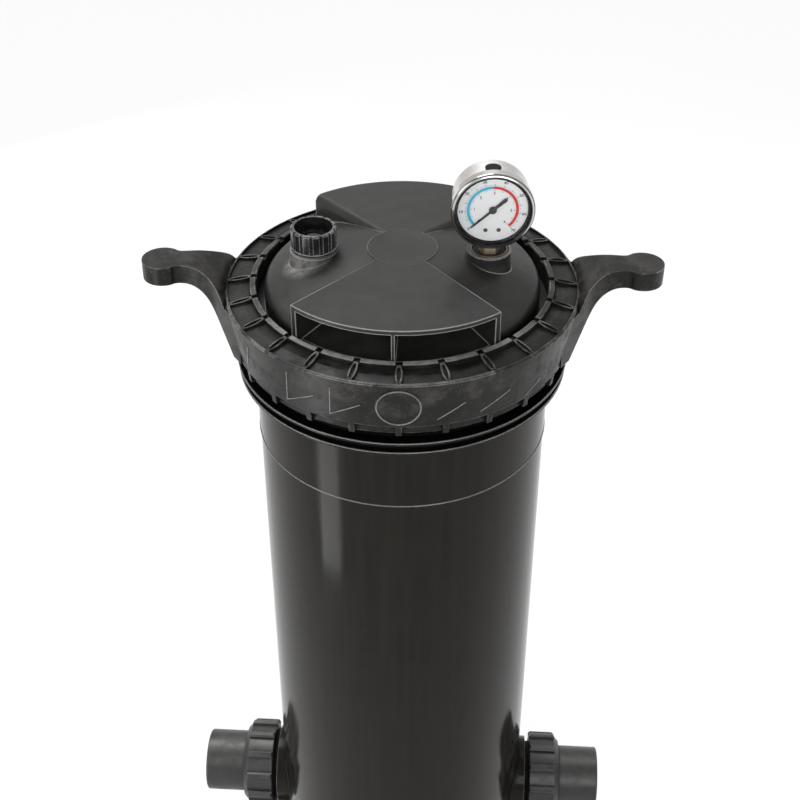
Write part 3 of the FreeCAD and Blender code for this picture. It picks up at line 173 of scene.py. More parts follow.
def new_group(name, inputs, outputs):
    """Empty node group with named sockets: inputs are (label, kind, value), outputs (label, kind)."""
    group = bpy.data.node_groups.new(name, "ShaderNodeTree")
    for label, kind, value in inputs:
        socket = group.interface.new_socket(label, in_out="INPUT", socket_type=kind)
        socket.default_value = value
    for label, kind in outputs:
        group.interface.new_socket(label, in_out="OUTPUT", socket_type=kind)
    return group, group.nodes.new("NodeGroupInput"), group.nodes.new("NodeGroupOutput")


def add(tree, kind, **settings):
    """New shader node of a kind such as "TexNoise", with its settings."""
    made = tree.nodes.new("ShaderNode" + kind)
    for name, value in settings.items():
        setattr(made, name, value)
    return made


def calculate(tree, operation, first, second=None, clamp=False):
    """Math node; first and second are sockets or numbers. Returns its output."""
    made = add(tree, "Math", operation=operation, use_clamp=clamp)
    for slot, value in enumerate((first, second)):
        if value is None:
            continue
        if isinstance(value, (int, float)):
            made.inputs[slot].default_value = value
        else:
            tree.links.new(value, made.inputs[slot])
    return made.outputs[0]


def product(tree, *factors):
    """Product of sockets and numbers."""
    result = factors[0]
    for factor in factors[1:]:
        result = calculate(tree, "MULTIPLY", result, factor)
    return result


def remap(tree, value, low, high, new_low=0.0, new_high=1.0):
    """Map Range node from low..high to new_low..new_high, clamped and smooth."""
    made = add(tree, "MapRange", interpolation_type="SMOOTHSTEP")
    tree.links.new(value, made.inputs["Value"])
    for label, number in (("From Min", low), ("From Max", high),
                          ("To Min", new_low), ("To Max", new_high)):
        made.inputs[label].default_value = number
    return made.outputs["Result"]


def noise(tree, vector, scale, detail=3.0, roughness=0.55):
    """Noise texture; scale is a number or a socket. Returns its value."""
    made = add(tree, "TexNoise")
    tree.links.new(vector, made.inputs["Vector"])
    if isinstance(scale, (int, float)):
        made.inputs["Scale"].default_value = scale
    else:
        tree.links.new(scale, made.inputs["Scale"])
    made.inputs["Detail"].default_value = detail
    made.inputs["Roughness"].default_value = roughness
    return made.outputs["Fac"]


def object_place(tree):
    """Object coordinates."""
    return add(tree, "TexCoord").outputs["Object"]


def stretched(tree, upright=1.0):
    """Object coordinates scaled along Z; a scale below 1 draws a pattern out upright."""
    scale = add(tree, "Mapping")
    scale.inputs["Scale"].default_value = (1.0, 1.0, upright)
    tree.links.new(object_place(tree), scale.inputs["Vector"])
    return scale.outputs["Vector"]


def round_the_axis(tree):
    """Distance from the tank's axis, and the object coordinates Y and Z."""
    parts = add(tree, "SeparateXYZ")
    tree.links.new(object_place(tree), parts.inputs[0])
    squares = [product(tree, parts.outputs[axis], parts.outputs[axis]) for axis in ("X", "Y")]
    radius = calculate(tree, "SQRT", calculate(tree, "ADD", *squares))
    return radius, parts.outputs["Y"], parts.outputs["Z"]


# Node groups that several finishes share

def build_rounded_edges():
    """Normal that rounds sharp edges, and a mask of the line along them, where worn edges get a painted
    highlight.
    """
    group, start, end = new_group("rounded_edges",
                                  [("Radius", "NodeSocketFloat", 0.8 * MM)],
                                  [("Normal", "NodeSocketVector"), ("Edge", "NodeSocketFloat")])
    bevel = add(group, "Bevel", samples=6)
    surface = add(group, "NewGeometry")
    turn = add(group, "VectorMath", operation="DOT_PRODUCT")
    group.links.new(start.outputs["Radius"], bevel.inputs["Radius"])
    group.links.new(bevel.outputs["Normal"], turn.inputs[0])
    group.links.new(surface.outputs["Normal"], turn.inputs[1])
    # Cosines: the mask starts where rounding turns the normal by about 2 degrees, and is full at 15
    edge = remap(group, turn.outputs["Value"], 0.9995, 0.965)
    group.links.new(bevel.outputs["Normal"], end.inputs["Normal"])
    group.links.new(edge, end.inputs["Edge"])
    return group


def build_crevices():
    """Mask of grooves and inner corners, which get painted shade, and a mask of open surface."""
    group, start, end = new_group("shaded_crevices",
                                  [("Reach", "NodeSocketFloat", 4.0 * MM)],
                                  [("PaintedShade", "NodeSocketFloat"), ("Open", "NodeSocketFloat")])
    hidden = add(group, "AmbientOcclusion", samples=8)
    group.links.new(start.outputs["Reach"], hidden.inputs["Distance"])
    group.links.new(remap(group, hidden.outputs["AO"], 0.92, 0.38), end.inputs["PaintedShade"])
    group.links.new(remap(group, hidden.outputs["AO"], 0.62, 0.90), end.inputs["Open"])
    return group


def build_moulded_skin():
    """Fine pebble of a moulded surface, with slow waves and blotches."""
    group, start, end = new_group("moulded_skin",
                                  [("Grain", "NodeSocketFloat", 900.0), ("Patch", "NodeSocketFloat", 42.0)],
                                  [("Height", "NodeSocketFloat"), ("Blotch", "NodeSocketFloat"),
                                   ("Speck", "NodeSocketFloat")])
    place = stretched(group)
    fine = noise(group, place, start.outputs["Grain"], 2.0)
    wave = noise(group, place, 26.0, 1.0)
    height = calculate(group, "ADD", fine, product(group, wave, 1.4))
    blotch = remap(group, noise(group, place, start.outputs["Patch"], 6.0, 0.70), 0.38, 0.66)
    group.links.new(height, end.inputs["Height"])
    group.links.new(blotch, end.inputs["Blotch"])
    group.links.new(remap(group, fine, 0.42, 0.70), end.inputs["Speck"])
    return group


def build_settled_dust():
    """Mask of thin dust on faces that look up."""
    group, start, end = new_group("settled_dust",
                                  [("Amount", "NodeSocketFloat", 0.3)],
                                  [("Mask", "NodeSocketFloat")])
    surface = add(group, "NewGeometry")
    parts = add(group, "SeparateXYZ")
    group.links.new(surface.outputs["Normal"], parts.inputs[0])
    upward = remap(group, parts.outputs["Z"], 0.45, 0.98)
    patches = remap(group, noise(group, stretched(group), 85.0, 6.0, 0.7), 0.35, 0.75, 0.25, 1.0)
    group.links.new(product(group, upward, patches, start.outputs["Amount"]), end.inputs["Mask"])
    return group


def build_flow_streaks():
    """Faint upright streaks of a drawn or spun surface."""
    group, _, end = new_group("flow_streaks", [], [("Streak", "NodeSocketFloat")])
    streak = noise(group, stretched(group, 0.05), 120.0, 4.0, 0.6)
    group.links.new(remap(group, streak, 0.35, 0.7), end.inputs["Streak"])
    return group


def build_turning_lines():
    """Fine rings left by turning or brushing, across the given axis."""
    group, start, end = new_group("turning_lines",
                                  [("Scale", "NodeSocketFloat", 900.0),
                                   ("Axis", "NodeSocketVector", (0.0, 1.0, 0.0))],
                                  [("Line", "NodeSocketFloat")])
    along = add(group, "VectorMath", operation="DOT_PRODUCT")
    group.links.new(object_place(group), along.inputs[0])
    group.links.new(start.outputs["Axis"], along.inputs[1])
    joined = add(group, "CombineXYZ")
    group.links.new(along.outputs["Value"], joined.inputs["X"])
    group.links.new(noise(group, joined.outputs[0], start.outputs["Scale"]), end.inputs["Line"])
    return group


GROUPS = {
    "edges": build_rounded_edges(),
    "shaded_crevices": build_crevices(),
    "skin": build_moulded_skin(),
    "dust": build_settled_dust(),
    "streaks": build_flow_streaks(),
    "lines": build_turning_lines(),
}


def use(tree, label, **values):
    """Places one of the shared groups in a material and sets its inputs."""
    made = tree.nodes.new("ShaderNodeGroup")
    made.node_tree = GROUPS[label]
    for name, value in values.items():
        made.inputs[name].default_value = value
    return made


def blend_colour(tree, share, first, second):
    """Colour between first and second; each is a colour or a socket, share is a socket."""
    # The colour sockets of this node come after those of its other data types: 6 and 7, output 2
    made = add(tree, "Mix", data_type="RGBA")
    tree.links.new(share, made.inputs[0])
    for socket, value in ((made.inputs[6], first), (made.inputs[7], second)):
        if isinstance(value, tuple):
            socket.default_value = (*value, 1.0)
        else:
            tree.links.new(value, socket)
    return made.outputs[2]


# Finishes

def new_material(name):
    """New material, with its node tree and its shader."""
    material = bpy.data.materials.new(name)
    material.use_nodes = True
    return material, material.node_tree, material.node_tree.nodes["Principled BSDF"]


def reopened(material):
    """Node tree, shader and body colour of a material, to work on further."""
    shader = material.node_tree.nodes["Principled BSDF"]
    return material.node_tree, shader, shader.inputs["Base Color"].links[0].from_socket


def mixed_surface(tree, share, first, second):
    """Sends a mix of two shaders to the surface; share is a socket."""
    either = add(tree, "MixShader")
    tree.links.new(share, either.inputs[0])
    tree.links.new(first.outputs[0], either.inputs[1])
    tree.links.new(second.outputs[0], either.inputs[2])
    tree.links.new(either.outputs[0], tree.nodes["Material Output"].inputs["Surface"])


def ray_mask(tree, *kinds):
    """1 for rays of the given kinds, such as "Is Camera Ray", and 0 for all others."""
    path = add(tree, "LightPath")
    mask = path.outputs[kinds[0]]
    for kind in kinds[1:]:
        mask = calculate(tree, "MAXIMUM", mask, path.outputs[kind])
    return mask


def bumped(tree, shader, height, normal, depth):
    """Feeds the shader's normal from a height and the rounded-edge normal."""
    bump = add(tree, "Bump")
    bump.inputs["Strength"].default_value = 1.0
    bump.inputs["Distance"].default_value = depth
    tree.links.new(height, bump.inputs["Height"])
    tree.links.new(normal, bump.inputs["Normal"])
    tree.links.new(bump.outputs["Normal"], shader.inputs["Normal"])


def moulded_plastic(name, dark, light, worn_and_highlight, dust_colour=DUST_GREY, rough=(0.35, 0.5), grain=900.0,
                    patch=42.0, depth=0.02 * MM, edge=0.8 * MM, dust=0.25, wear_and_highlight=0.6, specular=0.5,
                    reach=4.0 * MM, shade_amount=0.85):
    """Moulded plastic: blotched and speckled colour, worn edges lightened as a painted highlight, painted
    shade in grooves, dust and a fine pebble.
    """
    material, tree, shader = new_material(name)
    edges = use(tree, "edges", Radius=edge)
    shaded_crevices = use(tree, "shaded_crevices", Reach=reach)
    skin = use(tree, "skin", Grain=grain, Patch=patch)
    settled = use(tree, "dust", Amount=dust)
    blotch = skin.outputs["Blotch"]
    clear = shaded_crevices.outputs["Open"]
    body = blend_colour(tree, blotch, dark, light)
    speck = product(tree, skin.outputs["Speck"], 0.30)
    body = blend_colour(tree, speck, body, tuple(channel * 1.8 for channel in light))
    body = blend_colour(tree, product(tree, settled.outputs["Mask"], clear), body, dust_colour)
    # Painted shade: grooves and inner corners darkened
    shading = product(tree, shaded_crevices.outputs["PaintedShade"], shade_amount)
    body = blend_colour(tree, shading, body, tuple(channel * 0.12 for channel in dark))
    patchy = remap(tree, blotch, 0.0, 1.0, 0.45, 1.0)
    # Worn edges, lightened further as a painted highlight
    body = blend_colour(tree, product(tree, edges.outputs["Edge"], wear_and_highlight, clear, patchy), body, worn_and_highlight)
    tree.links.new(body, shader.inputs["Base Color"])
    sheen = remap(tree, blotch, 0.0, 1.0, *rough)
    dull = product(tree, shading, 0.4)
    tree.links.new(calculate(tree, "ADD", sheen, dull, True), shader.inputs["Roughness"])
    shader.inputs["Specular IOR Level"].default_value = specular
    bumped(tree, shader, skin.outputs["Height"], edges.outputs["Normal"], depth)
    return material


def lid_plastic():
    """Plastic of the lid, with a painted highlight along the hood edges, and a painted highlight at the
    relief knob's foot.
    """
    material = moulded_plastic("lid_plastic", (0.0150, 0.0147, 0.0140), (0.0215, 0.0210, 0.0197),
                               (0.46, 0.45, 0.435), rough=(0.32, 0.46), grain=1100.0, patch=26.0,
                               depth=0.022 * MM, edge=0.8 * MM, dust=0.10, wear_and_highlight=0.70, specular=0.32,
                               reach=2.5 * MM, shade_amount=0.7)
    tree, shader, body = reopened(material)
    # Painted highlight along the hood edges
    edges = use(tree, "edges", Radius=1.3 * MM)
    radius, _, _ = round_the_axis(tree)
    hood_highlight = remap(tree, radius, DISC_REACH, HOOD_REACH, 0.0, 0.75)
    body = blend_colour(tree, product(tree, hood_highlight, edges.outputs["Edge"]), body, (0.50, 0.49, 0.475))
    # Painted highlight on the foot of the relief knob, with a mottle
    low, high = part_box("relief_knob")
    knob_foot = Vector(((low.x + high.x) / 2.0, (low.y + high.y) / 2.0, low.z))
    span = add(tree, "VectorMath", operation="DISTANCE")
    span.inputs[1].default_value = knob_foot + Vector(HIGHLIGHT_SPOT)
    tree.links.new(object_place(tree), span.inputs[0])
    spot_highlight = remap(tree, span.outputs["Value"], HIGHLIGHT_REACH, HIGHLIGHT_CORE)
    mottle = remap(tree, noise(tree, stretched(tree), 180.0, 4.0, 0.65), 0.35, 0.65, 0.4, 1.0)
    body = blend_colour(tree, product(tree, spot_highlight, mottle, 0.70), body, (0.32, 0.315, 0.305))
    tree.links.new(body, shader.inputs["Base Color"])
    return material


def ring_plastic():
    """Plastic of the lock ring: smudged, with painted shade in its channel and a painted highlight on the
    crest in front.
    """
    material = moulded_plastic("ring_plastic", (0.0060, 0.0057, 0.0050), (0.042, 0.0400, 0.0355),
                               RING_WORN_AND_HIGHLIGHT, rough=(0.30, 0.52), patch=70.0, depth=0.040 * MM,
                               edge=1.05 * MM, dust=0.05, wear_and_highlight=0.95, specular=0.22, reach=8.0 * MM,
                               shade_amount=0.95)
    tree, shader, body = reopened(material)
    radius, backward, height = round_the_axis(tree)
    above = calculate(tree, "SUBTRACT", height, ring_top())
    inside = remap(tree, radius, *(RING_TOP_RADIUS - inwards for inwards in CHANNEL_IN))
    mottle = remap(tree, noise(tree, stretched(tree), 240.0, 5.0, 0.7), 0.35, 0.65, 0.55, 0.95)
    smudge = remap(tree, noise(tree, stretched(tree), 34.0, 6.0, 0.72), 0.45, 0.57, 0.0, 0.85)
    body = blend_colour(tree, smudge, body, (0.0045, 0.0042, 0.0036))
    # Painted shade in the channel, darker towards the front
    low = remap(tree, above, *CHANNEL_UP)
    shade_front = remap(tree, backward, *CHANNEL_SHADE_FRONT, 0.3, 1.0)
    body = blend_colour(tree, product(tree, inside, low, mottle, shade_front), body, (0.0040, 0.0038, 0.0034))
    # Painted highlight on the inner crest, stronger towards the front
    crest_highlight = remap(tree, above, *CREST_UP)
    highlight_front = remap(tree, backward, *CREST_FRONT, 0.10, 0.75)
    body = blend_colour(tree, product(tree, crest_highlight, inside, mottle, highlight_front), body, RING_WORN_AND_HIGHLIGHT)
    tree.links.new(body, shader.inputs["Base Color"])
    return material


def tank_plastic():
    """Glossy near-black shell with a brown cast, upright flow streaks, an orange peel, painted shade on the
    flange rims and in crevices, and worn edges lightened as a painted highlight.
    """
    material, tree, shader = new_material("tank_plastic")
    edges = use(tree, "edges", Radius=0.9 * MM)
    shaded_crevices = use(tree, "shaded_crevices", Reach=9.0 * MM)
    skin = use(tree, "skin", Grain=420.0, Patch=30.0)
    streak = use(tree, "streaks").outputs["Streak"]
    body = blend_colour(tree, skin.outputs["Blotch"], (0.0085, 0.0078, 0.0068), (0.0112, 0.0100, 0.0085))
    body = blend_colour(tree, streak, body, (0.0140, 0.0116, 0.0088))
    radius, _, height = round_the_axis(tree)
    # Painted shade on the flange rims under the lock ring
    wide = remap(tree, radius, *(BAND_RADIUS + outwards for outwards in FLANGE_OUT))
    high = remap(tree, height, *(ring_foot() - drop for drop in FLANGE_DROPS))
    rim_shade = product(tree, wide, high)
    body = blend_colour(tree, product(tree, rim_shade, 0.8), body, (0.0015, 0.0015, 0.0015))
    # Worn edges lightened as a painted highlight, less on the shaded flange rims
    wear_and_highlight = remap(tree, rim_shade, 0.0, 1.0, 0.75, 0.08)
    worn_and_highlight = product(tree, edges.outputs["Edge"], wear_and_highlight, shaded_crevices.outputs["Open"])
    body = blend_colour(tree, worn_and_highlight, body, (0.24, 0.238, 0.23))
    # Painted shade in crevices
    body = blend_colour(tree, shaded_crevices.outputs["PaintedShade"], body, (0.001, 0.001, 0.001))
    tree.links.new(body, shader.inputs["Base Color"])
    sheen = remap(tree, streak, 0.0, 1.0, 0.11, 0.17)
    dull = product(tree, shaded_crevices.outputs["PaintedShade"], 0.6)
    tree.links.new(calculate(tree, "ADD", sheen, dull, True), shader.inputs["Roughness"])
    shader.inputs["Specular IOR Level"].default_value = 0.12
    bumped(tree, shader, skin.outputs["Height"], edges.outputs["Normal"], 0.010 * MM)
    return material


def rubber(name, colour):
    """Dull rubber with a faint bloom."""
    material, tree, shader = new_material(name)
    edges = use(tree, "edges", Radius=0.4 * MM)
    skin = use(tree, "skin", Grain=1400.0)
    bloom = tuple(channel * 2.2 for channel in colour)
    tree.links.new(blend_colour(tree, skin.outputs["Blotch"], colour, bloom), shader.inputs["Base Color"])
    shader.inputs["Roughness"].default_value = 0.62
    shader.inputs["Specular IOR Level"].default_value = 0.2
    bumped(tree, shader, skin.outputs["Height"], edges.outputs["Normal"], 0.02 * MM)
    return material


def polished_metal(name, colour, tarnish, rough, scale, depth, edge=0.3 * MM, axis=(0.0, 1.0, 0.0)):
    """Turned or brushed metal with fine rings and slight uneven tarnish."""
    material, tree, shader = new_material(name)
    edges = use(tree, "edges", Radius=edge)
    skin = use(tree, "skin", Grain=700.0)
    lines = use(tree, "lines", Scale=scale, Axis=axis)
    tree.links.new(blend_colour(tree, skin.outputs["Blotch"], colour, tarnish), shader.inputs["Base Color"])
    tree.links.new(remap(tree, lines.outputs["Line"], 0.2, 0.8, *rough), shader.inputs["Roughness"])
    shader.inputs["Metallic"].default_value = 1.0
    bumped(tree, shader, lines.outputs["Line"], edges.outputs["Normal"], depth)
    return material


def bezel_chrome():
    """Bright bezel, with painted shade where its lip shades the window and a painted dark reflection along
    its crimp.
    """
    material = polished_metal("bezel_chrome", (0.70, 0.69, 0.67), (0.56, 0.55, 0.53), (0.07, 0.14),
                              1800.0, 0.002 * MM, 0.4 * MM, GAUGE_AXIS)
    tree, shader, body = reopened(material)
    low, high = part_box("gauge_dial")
    offset = add(tree, "VectorMath", operation="SUBTRACT")
    offset.inputs[1].default_value = (low + high) / 2.0
    tree.links.new(object_place(tree), offset.inputs[0])
    flat = add(tree, "VectorMath", operation="CROSS_PRODUCT")
    flat.inputs[1].default_value = GAUGE_AXIS
    tree.links.new(offset.outputs["Vector"], flat.inputs[0])
    span = add(tree, "VectorMath", operation="LENGTH")
    tree.links.new(flat.outputs["Vector"], span.inputs[0])
    shade = remap(tree, span.outputs["Value"], BEZEL_SHADE, (BEZEL_LIP + BEZEL_SHADE) / 2.0)
    body = blend_colour(tree, shade, body, (0.03, 0.03, 0.03))
    # Painted dark reflection along the crimp
    crimp_reflection = calculate(tree, "ABSOLUTE", calculate(tree, "SUBTRACT", span.outputs["Value"], BEZEL_GROOVE))
    crimp_reflection = remap(tree, crimp_reflection, 0.50 * MM, 0.25 * MM, 0.0, 0.75)
    tree.links.new(blend_colour(tree, crimp_reflection, body, (0.08, 0.078, 0.075)), shader.inputs["Base Color"])
    return material


def clear_window():
    """Clear glass that lets the lamps reach the dial behind it."""
    material, tree, shader = new_material("clear_window")
    smears = remap(tree, noise(tree, stretched(tree), 160.0, 4.0), 0.4, 0.8, 0.0, 0.04)
    shader.inputs["Base Color"].default_value = (0.985, 0.99, 0.99, 1.0)
    shader.inputs["Transmission Weight"].default_value = 1.0
    shader.inputs["IOR"].default_value = 1.22
    tree.links.new(smears, shader.inputs["Roughness"])
    lighting = ray_mask(tree, "Is Shadow Ray", "Is Diffuse Ray")
    mixed_surface(tree, lighting, shader, add(tree, "BsdfTransparent"))
    return material


def painted(name, colour, shade, rough=0.45):
    """Thin printed or sprayed paint with a hair of mottle."""
    material, tree, shader = new_material(name)
    skin = use(tree, "skin", Grain=2400.0)
    edges = use(tree, "edges", Radius=0.15 * MM)
    tree.links.new(blend_colour(tree, skin.outputs["Blotch"], colour, shade), shader.inputs["Base Color"])
    shader.inputs["Roughness"].default_value = rough
    bumped(tree, shader, skin.outputs["Height"], edges.outputs["Normal"], 0.004 * MM)
    return material


def pleated_felt():
    """White spun polyester: soft fibre mottle and light soiling in broad patches."""
    material, tree, shader = new_material("pleated_felt")
    fibres = noise(tree, stretched(tree, 0.35), 1500.0, 5.0, 0.75)
    soil = remap(tree, noise(tree, stretched(tree), 12.0, 4.0), 0.4, 0.75)
    clean = blend_colour(tree, remap(tree, fibres, 0.35, 0.65), (0.80, 0.81, 0.80), (0.88, 0.885, 0.875))
    tree.links.new(blend_colour(tree, soil, clean, (0.74, 0.735, 0.70)), shader.inputs["Base Color"])
    shader.inputs["Roughness"].default_value = 0.9
    shader.inputs["Sheen Weight"].default_value = 0.25
    edges = use(tree, "edges", Radius=0.4 * MM)
    bumped(tree, shader, fibres, edges.outputs["Normal"], 0.15 * MM)
    return material


def studio_floor():
    """Plain pale floor, whitened where it is seen, so that the object's shadow stays faint."""
    material, tree, shader = new_material("studio_floor")
    mottle = remap(tree, noise(tree, stretched(tree), 3.0, 2.0), 0.3, 0.7)
    colour = blend_colour(tree, mottle, (0.93, 0.93, 0.93), (0.94, 0.94, 0.94))
    tree.links.new(colour, shader.inputs["Base Color"])
    shader.inputs["Roughness"].default_value = 0.9
    shader.inputs["Specular IOR Level"].default_value = 0.1
    white = add(tree, "Emission")
    white.inputs["Strength"].default_value = 1.0
    seen = ray_mask(tree, "Is Camera Ray", "Is Glossy Ray", "Is Transmission Ray")
    mixed_surface(tree, product(tree, seen, FLOOR_WHITENING), shader, white)
    return material


FINISHES = {
    "tank": tank_plastic(),
    "base": moulded_plastic("base_plastic", (0.014, 0.014, 0.013), (0.022, 0.021, 0.020),
                            (0.10, 0.10, 0.095), dust=0.35),
    "lid": lid_plastic(),
    "ring": ring_plastic(),
    # Light colour as a painted highlight on the raised strokes and the medallion rim
    "ring_mark": moulded_plastic("ring_mark_highlight", (0.085, 0.083, 0.077), (0.19, 0.185, 0.17),
                                 (0.36, 0.355, 0.33), (0.24, 0.235, 0.22), patch=160.0,
                                 depth=0.02 * MM, edge=0.5 * MM, shade_amount=0.0),
    # Light colour as a painted highlight on the rolled edges of the tank
    "lip": moulded_plastic("tank_lip_highlight", (0.11, 0.108, 0.103), (0.19, 0.188, 0.18), (0.30, 0.30, 0.29),
                           rough=(0.13, 0.20), patch=40.0, depth=0.002 * MM, edge=0.3 * MM, shade_amount=0.0),
    "union": moulded_plastic("union_plastic", (0.012, 0.012, 0.012), (0.020, 0.020, 0.019),
                             (0.09, 0.09, 0.09), dust=0.25),
    "pipe": moulded_plastic("pipe_plastic", (0.66, 0.66, 0.63), (0.72, 0.72, 0.69), (0.80, 0.80, 0.78),
                            (0.55, 0.53, 0.48), rough=(0.3, 0.4), dust=0.2, shade_amount=0.0),
    "knob": moulded_plastic("knob_plastic", (0.008, 0.008, 0.008), (0.020, 0.020, 0.020),
                            (0.46, 0.46, 0.46), rough=(0.14, 0.24), depth=0.008 * MM, edge=0.75 * MM,
                            dust=0.08, wear_and_highlight=0.95, specular=0.6, reach=2.0 * MM),
    "valve": moulded_plastic("valve_plastic", (0.030, 0.030, 0.029), (0.042, 0.042, 0.040),
                             (0.12, 0.12, 0.12), edge=0.3 * MM),
    "rubber": rubber("black_rubber", (0.0045, 0.0045, 0.0045)),
    "stainless": polished_metal("stainless", (0.84, 0.81, 0.79), (0.66, 0.635, 0.62), (0.32, 0.44),
                                1500.0, 0.004 * MM, axis=GAUGE_AXIS),
    "screw": polished_metal("screw_steel", (0.42, 0.42, 0.41), (0.34, 0.34, 0.33), (0.3, 0.4),
                            2500.0, 0.004 * MM, 0.15 * MM),
    "dial_screw": polished_metal("dial_screw_steel", (0.10, 0.10, 0.10), (0.07, 0.07, 0.07), (0.35, 0.45),
                                 2500.0, 0.004 * MM, 0.15 * MM),
    "chrome": bezel_chrome(),
    "brass": polished_metal("stem_brass", (0.86, 0.71, 0.47), (0.66, 0.55, 0.38), (0.30, 0.45),
                            1200.0, 0.006 * MM, 0.5 * MM, UPRIGHT),
    "window": clear_window(),
    "dial": painted("dial_white", (0.87, 0.88, 0.885), (0.84, 0.85, 0.855)),
    "ink": painted("ink_black", (0.014, 0.014, 0.018), (0.022, 0.022, 0.026)),
    "blue": painted("ink_blue", (0.030, 0.44, 0.68), (0.038, 0.48, 0.74)),
    "red": painted("ink_red", (0.62, 0.008, 0.010), (0.70, 0.014, 0.015)),
    "pointer": painted("pointer_black", (0.010, 0.010, 0.010), (0.015, 0.015, 0.015), 0.35),
    "media": pleated_felt(),
    "core": moulded_plastic("core_white", (0.72, 0.73, 0.72), (0.77, 0.78, 0.77), (0.84, 0.84, 0.83),
                            (0.6, 0.58, 0.52), rough=(0.35, 0.45), dust=0.15, shade_amount=0.0),
    "cap": moulded_plastic("cap_grey", (0.16, 0.19, 0.22), (0.19, 0.22, 0.25), (0.30, 0.33, 0.36),
                           (0.42, 0.41, 0.38), rough=(0.45, 0.6), dust=0.3, wear_and_highlight=0.4, shade_amount=0.3),
}

NODE_FINISH = {
    "tank": ["tank_shell"],
    "base": ["base_stand"],
    "screw": ["base_screws"],
    "dial_screw": ["dial_screws"],
    "pipe": ["outlet_pipe", "inlet_diffuser"],
    "union": ["outlet_union_tail", "outlet_union_nut", "inlet_union_tail", "inlet_union_nut", "drain_plug"],
    "rubber": ["outlet_union_seal", "inlet_union_seal", "drain_seal", "lid_seal", "relief_seal",
               "gauge_gasket", "gauge_washer", "fill_plug", "cartridge_seal"],
    "lid": ["lid_dome"],
    "ring": ["lock_ring"],
    "valve": ["relief_body", "relief_stem"],
    "knob": ["relief_knob"],
    "brass": ["gauge_stem", "gauge_movement", "bourdon_tube"],
    "stainless": ["gauge_case"],
    "chrome": ["gauge_bezel"],
    "window": ["gauge_window"],
    "dial": ["gauge_dial"],
    "pointer": ["gauge_pointer"],
    "media": ["filter_media"],
    "core": ["cartridge_core"],
    "cap": ["top_cap", "bottom_cap"],
}


def paint_nodes():
    """Gives each CAD node its finish."""
    for finish, names in NODE_FINISH.items():
        for name in names:
            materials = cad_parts[name].data.materials
            materials.clear()
            materials.append(FINISHES[finish])


# Small modelled pieces

def mesh_piece(name, build, material, body, smooth=False):
    """New mesh filled by build(bm), with its material, that rides on a CAD body."""
    bm = bmesh.new()
    build(bm)
    for face in bm.faces:
        face.smooth = smooth
    mesh = bpy.data.meshes.new(name)
    bm.to_mesh(mesh)
    bm.free()
    mesh.materials.append(material)
    piece = bpy.data.objects.new(name, mesh)
    bpy.context.scene.collection.objects.link(piece)
    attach(piece, body)


def raised_stroke(bm, points, normals, profile, closed=False):
    """Sweeps a profile of (across, out) points along a path on a surface, with mitred corners."""
    count = len(points)
    rows = []
    for i, (point, normal) in enumerate(zip(points, normals)):
        before = points[(i - 1) % count] if closed or i > 0 else point
        after = points[(i + 1) % count] if closed or i < count - 1 else point
        steps = [step for step in (point - before, after - point) if step.length > 0.0]
        sides = [normal.cross(step.normalized()) for step in steps]
        side = sum(sides, Vector()).normalized()
        side /= max(0.5, side.dot(sides[-1]))
        rows.append([bm.verts.new(point + side * across + normal * out) for across, out in profile])
    pairs = list(zip(rows, rows[1:]))
    if closed:
        pairs.append((rows[-1], rows[0]))
    for here, there in pairs:
        for i in range(len(profile)):
            j = (i + 1) % len(profile)
            bm.faces.new((here[i], here[j], there[j], there[i]))
    if not closed:
        bm.faces.new(rows[0][::-1])
        bm.faces.new(rows[-1])
    bmesh.ops.recalc_face_normals(bm, faces=bm.faces)


def stroke_profile(width, height):
    """Low bead with sloped sides, which starts inside the surface."""
    return [(-0.50 * width, -MARK_SINK), (-0.42 * width, 0.35 * height), (-0.22 * width, height),
            (0.22 * width, height), (0.42 * width, 0.35 * height), (0.50 * width, -MARK_SINK)]


def on_ring_side(degrees, drop):
    """Point on the cone of the ring's side, and the way out of it."""
    angle = math.radians(degrees)
    outward = Vector((math.cos(angle), math.sin(angle), 0.0))
    point = outward * (RING_TOP_RADIUS - RING_SLOPE * drop)
    point.z = ring_top() - drop
    return point, (outward - Vector((0.0, 0.0, RING_SLOPE))).normalized()


def ring_marks():
    """Plain raised strokes round the front of the ring, coloured light as a painted highlight."""
    def build(bm):
        for corners in RING_MARKS:
            path = [corners[0]]
            for (turn, drop), (next_turn, next_drop) in zip(corners, corners[1:]):
                for i in range(1, MARK_STEPS + 1):
                    path.append((turn + (next_turn - turn) * i / MARK_STEPS,
                                 drop + (next_drop - drop) * i / MARK_STEPS))
            placed = [on_ring_side(turn, drop * MM) for turn, drop in path]
            raised_stroke(bm, [point for point, _ in placed], [normal for _, normal in placed],
                          stroke_profile(MARK_WIDTH, MARK_HEIGHT))

    mesh_piece("ring_marks", build, FINISHES["ring_mark"], "lock_ring")


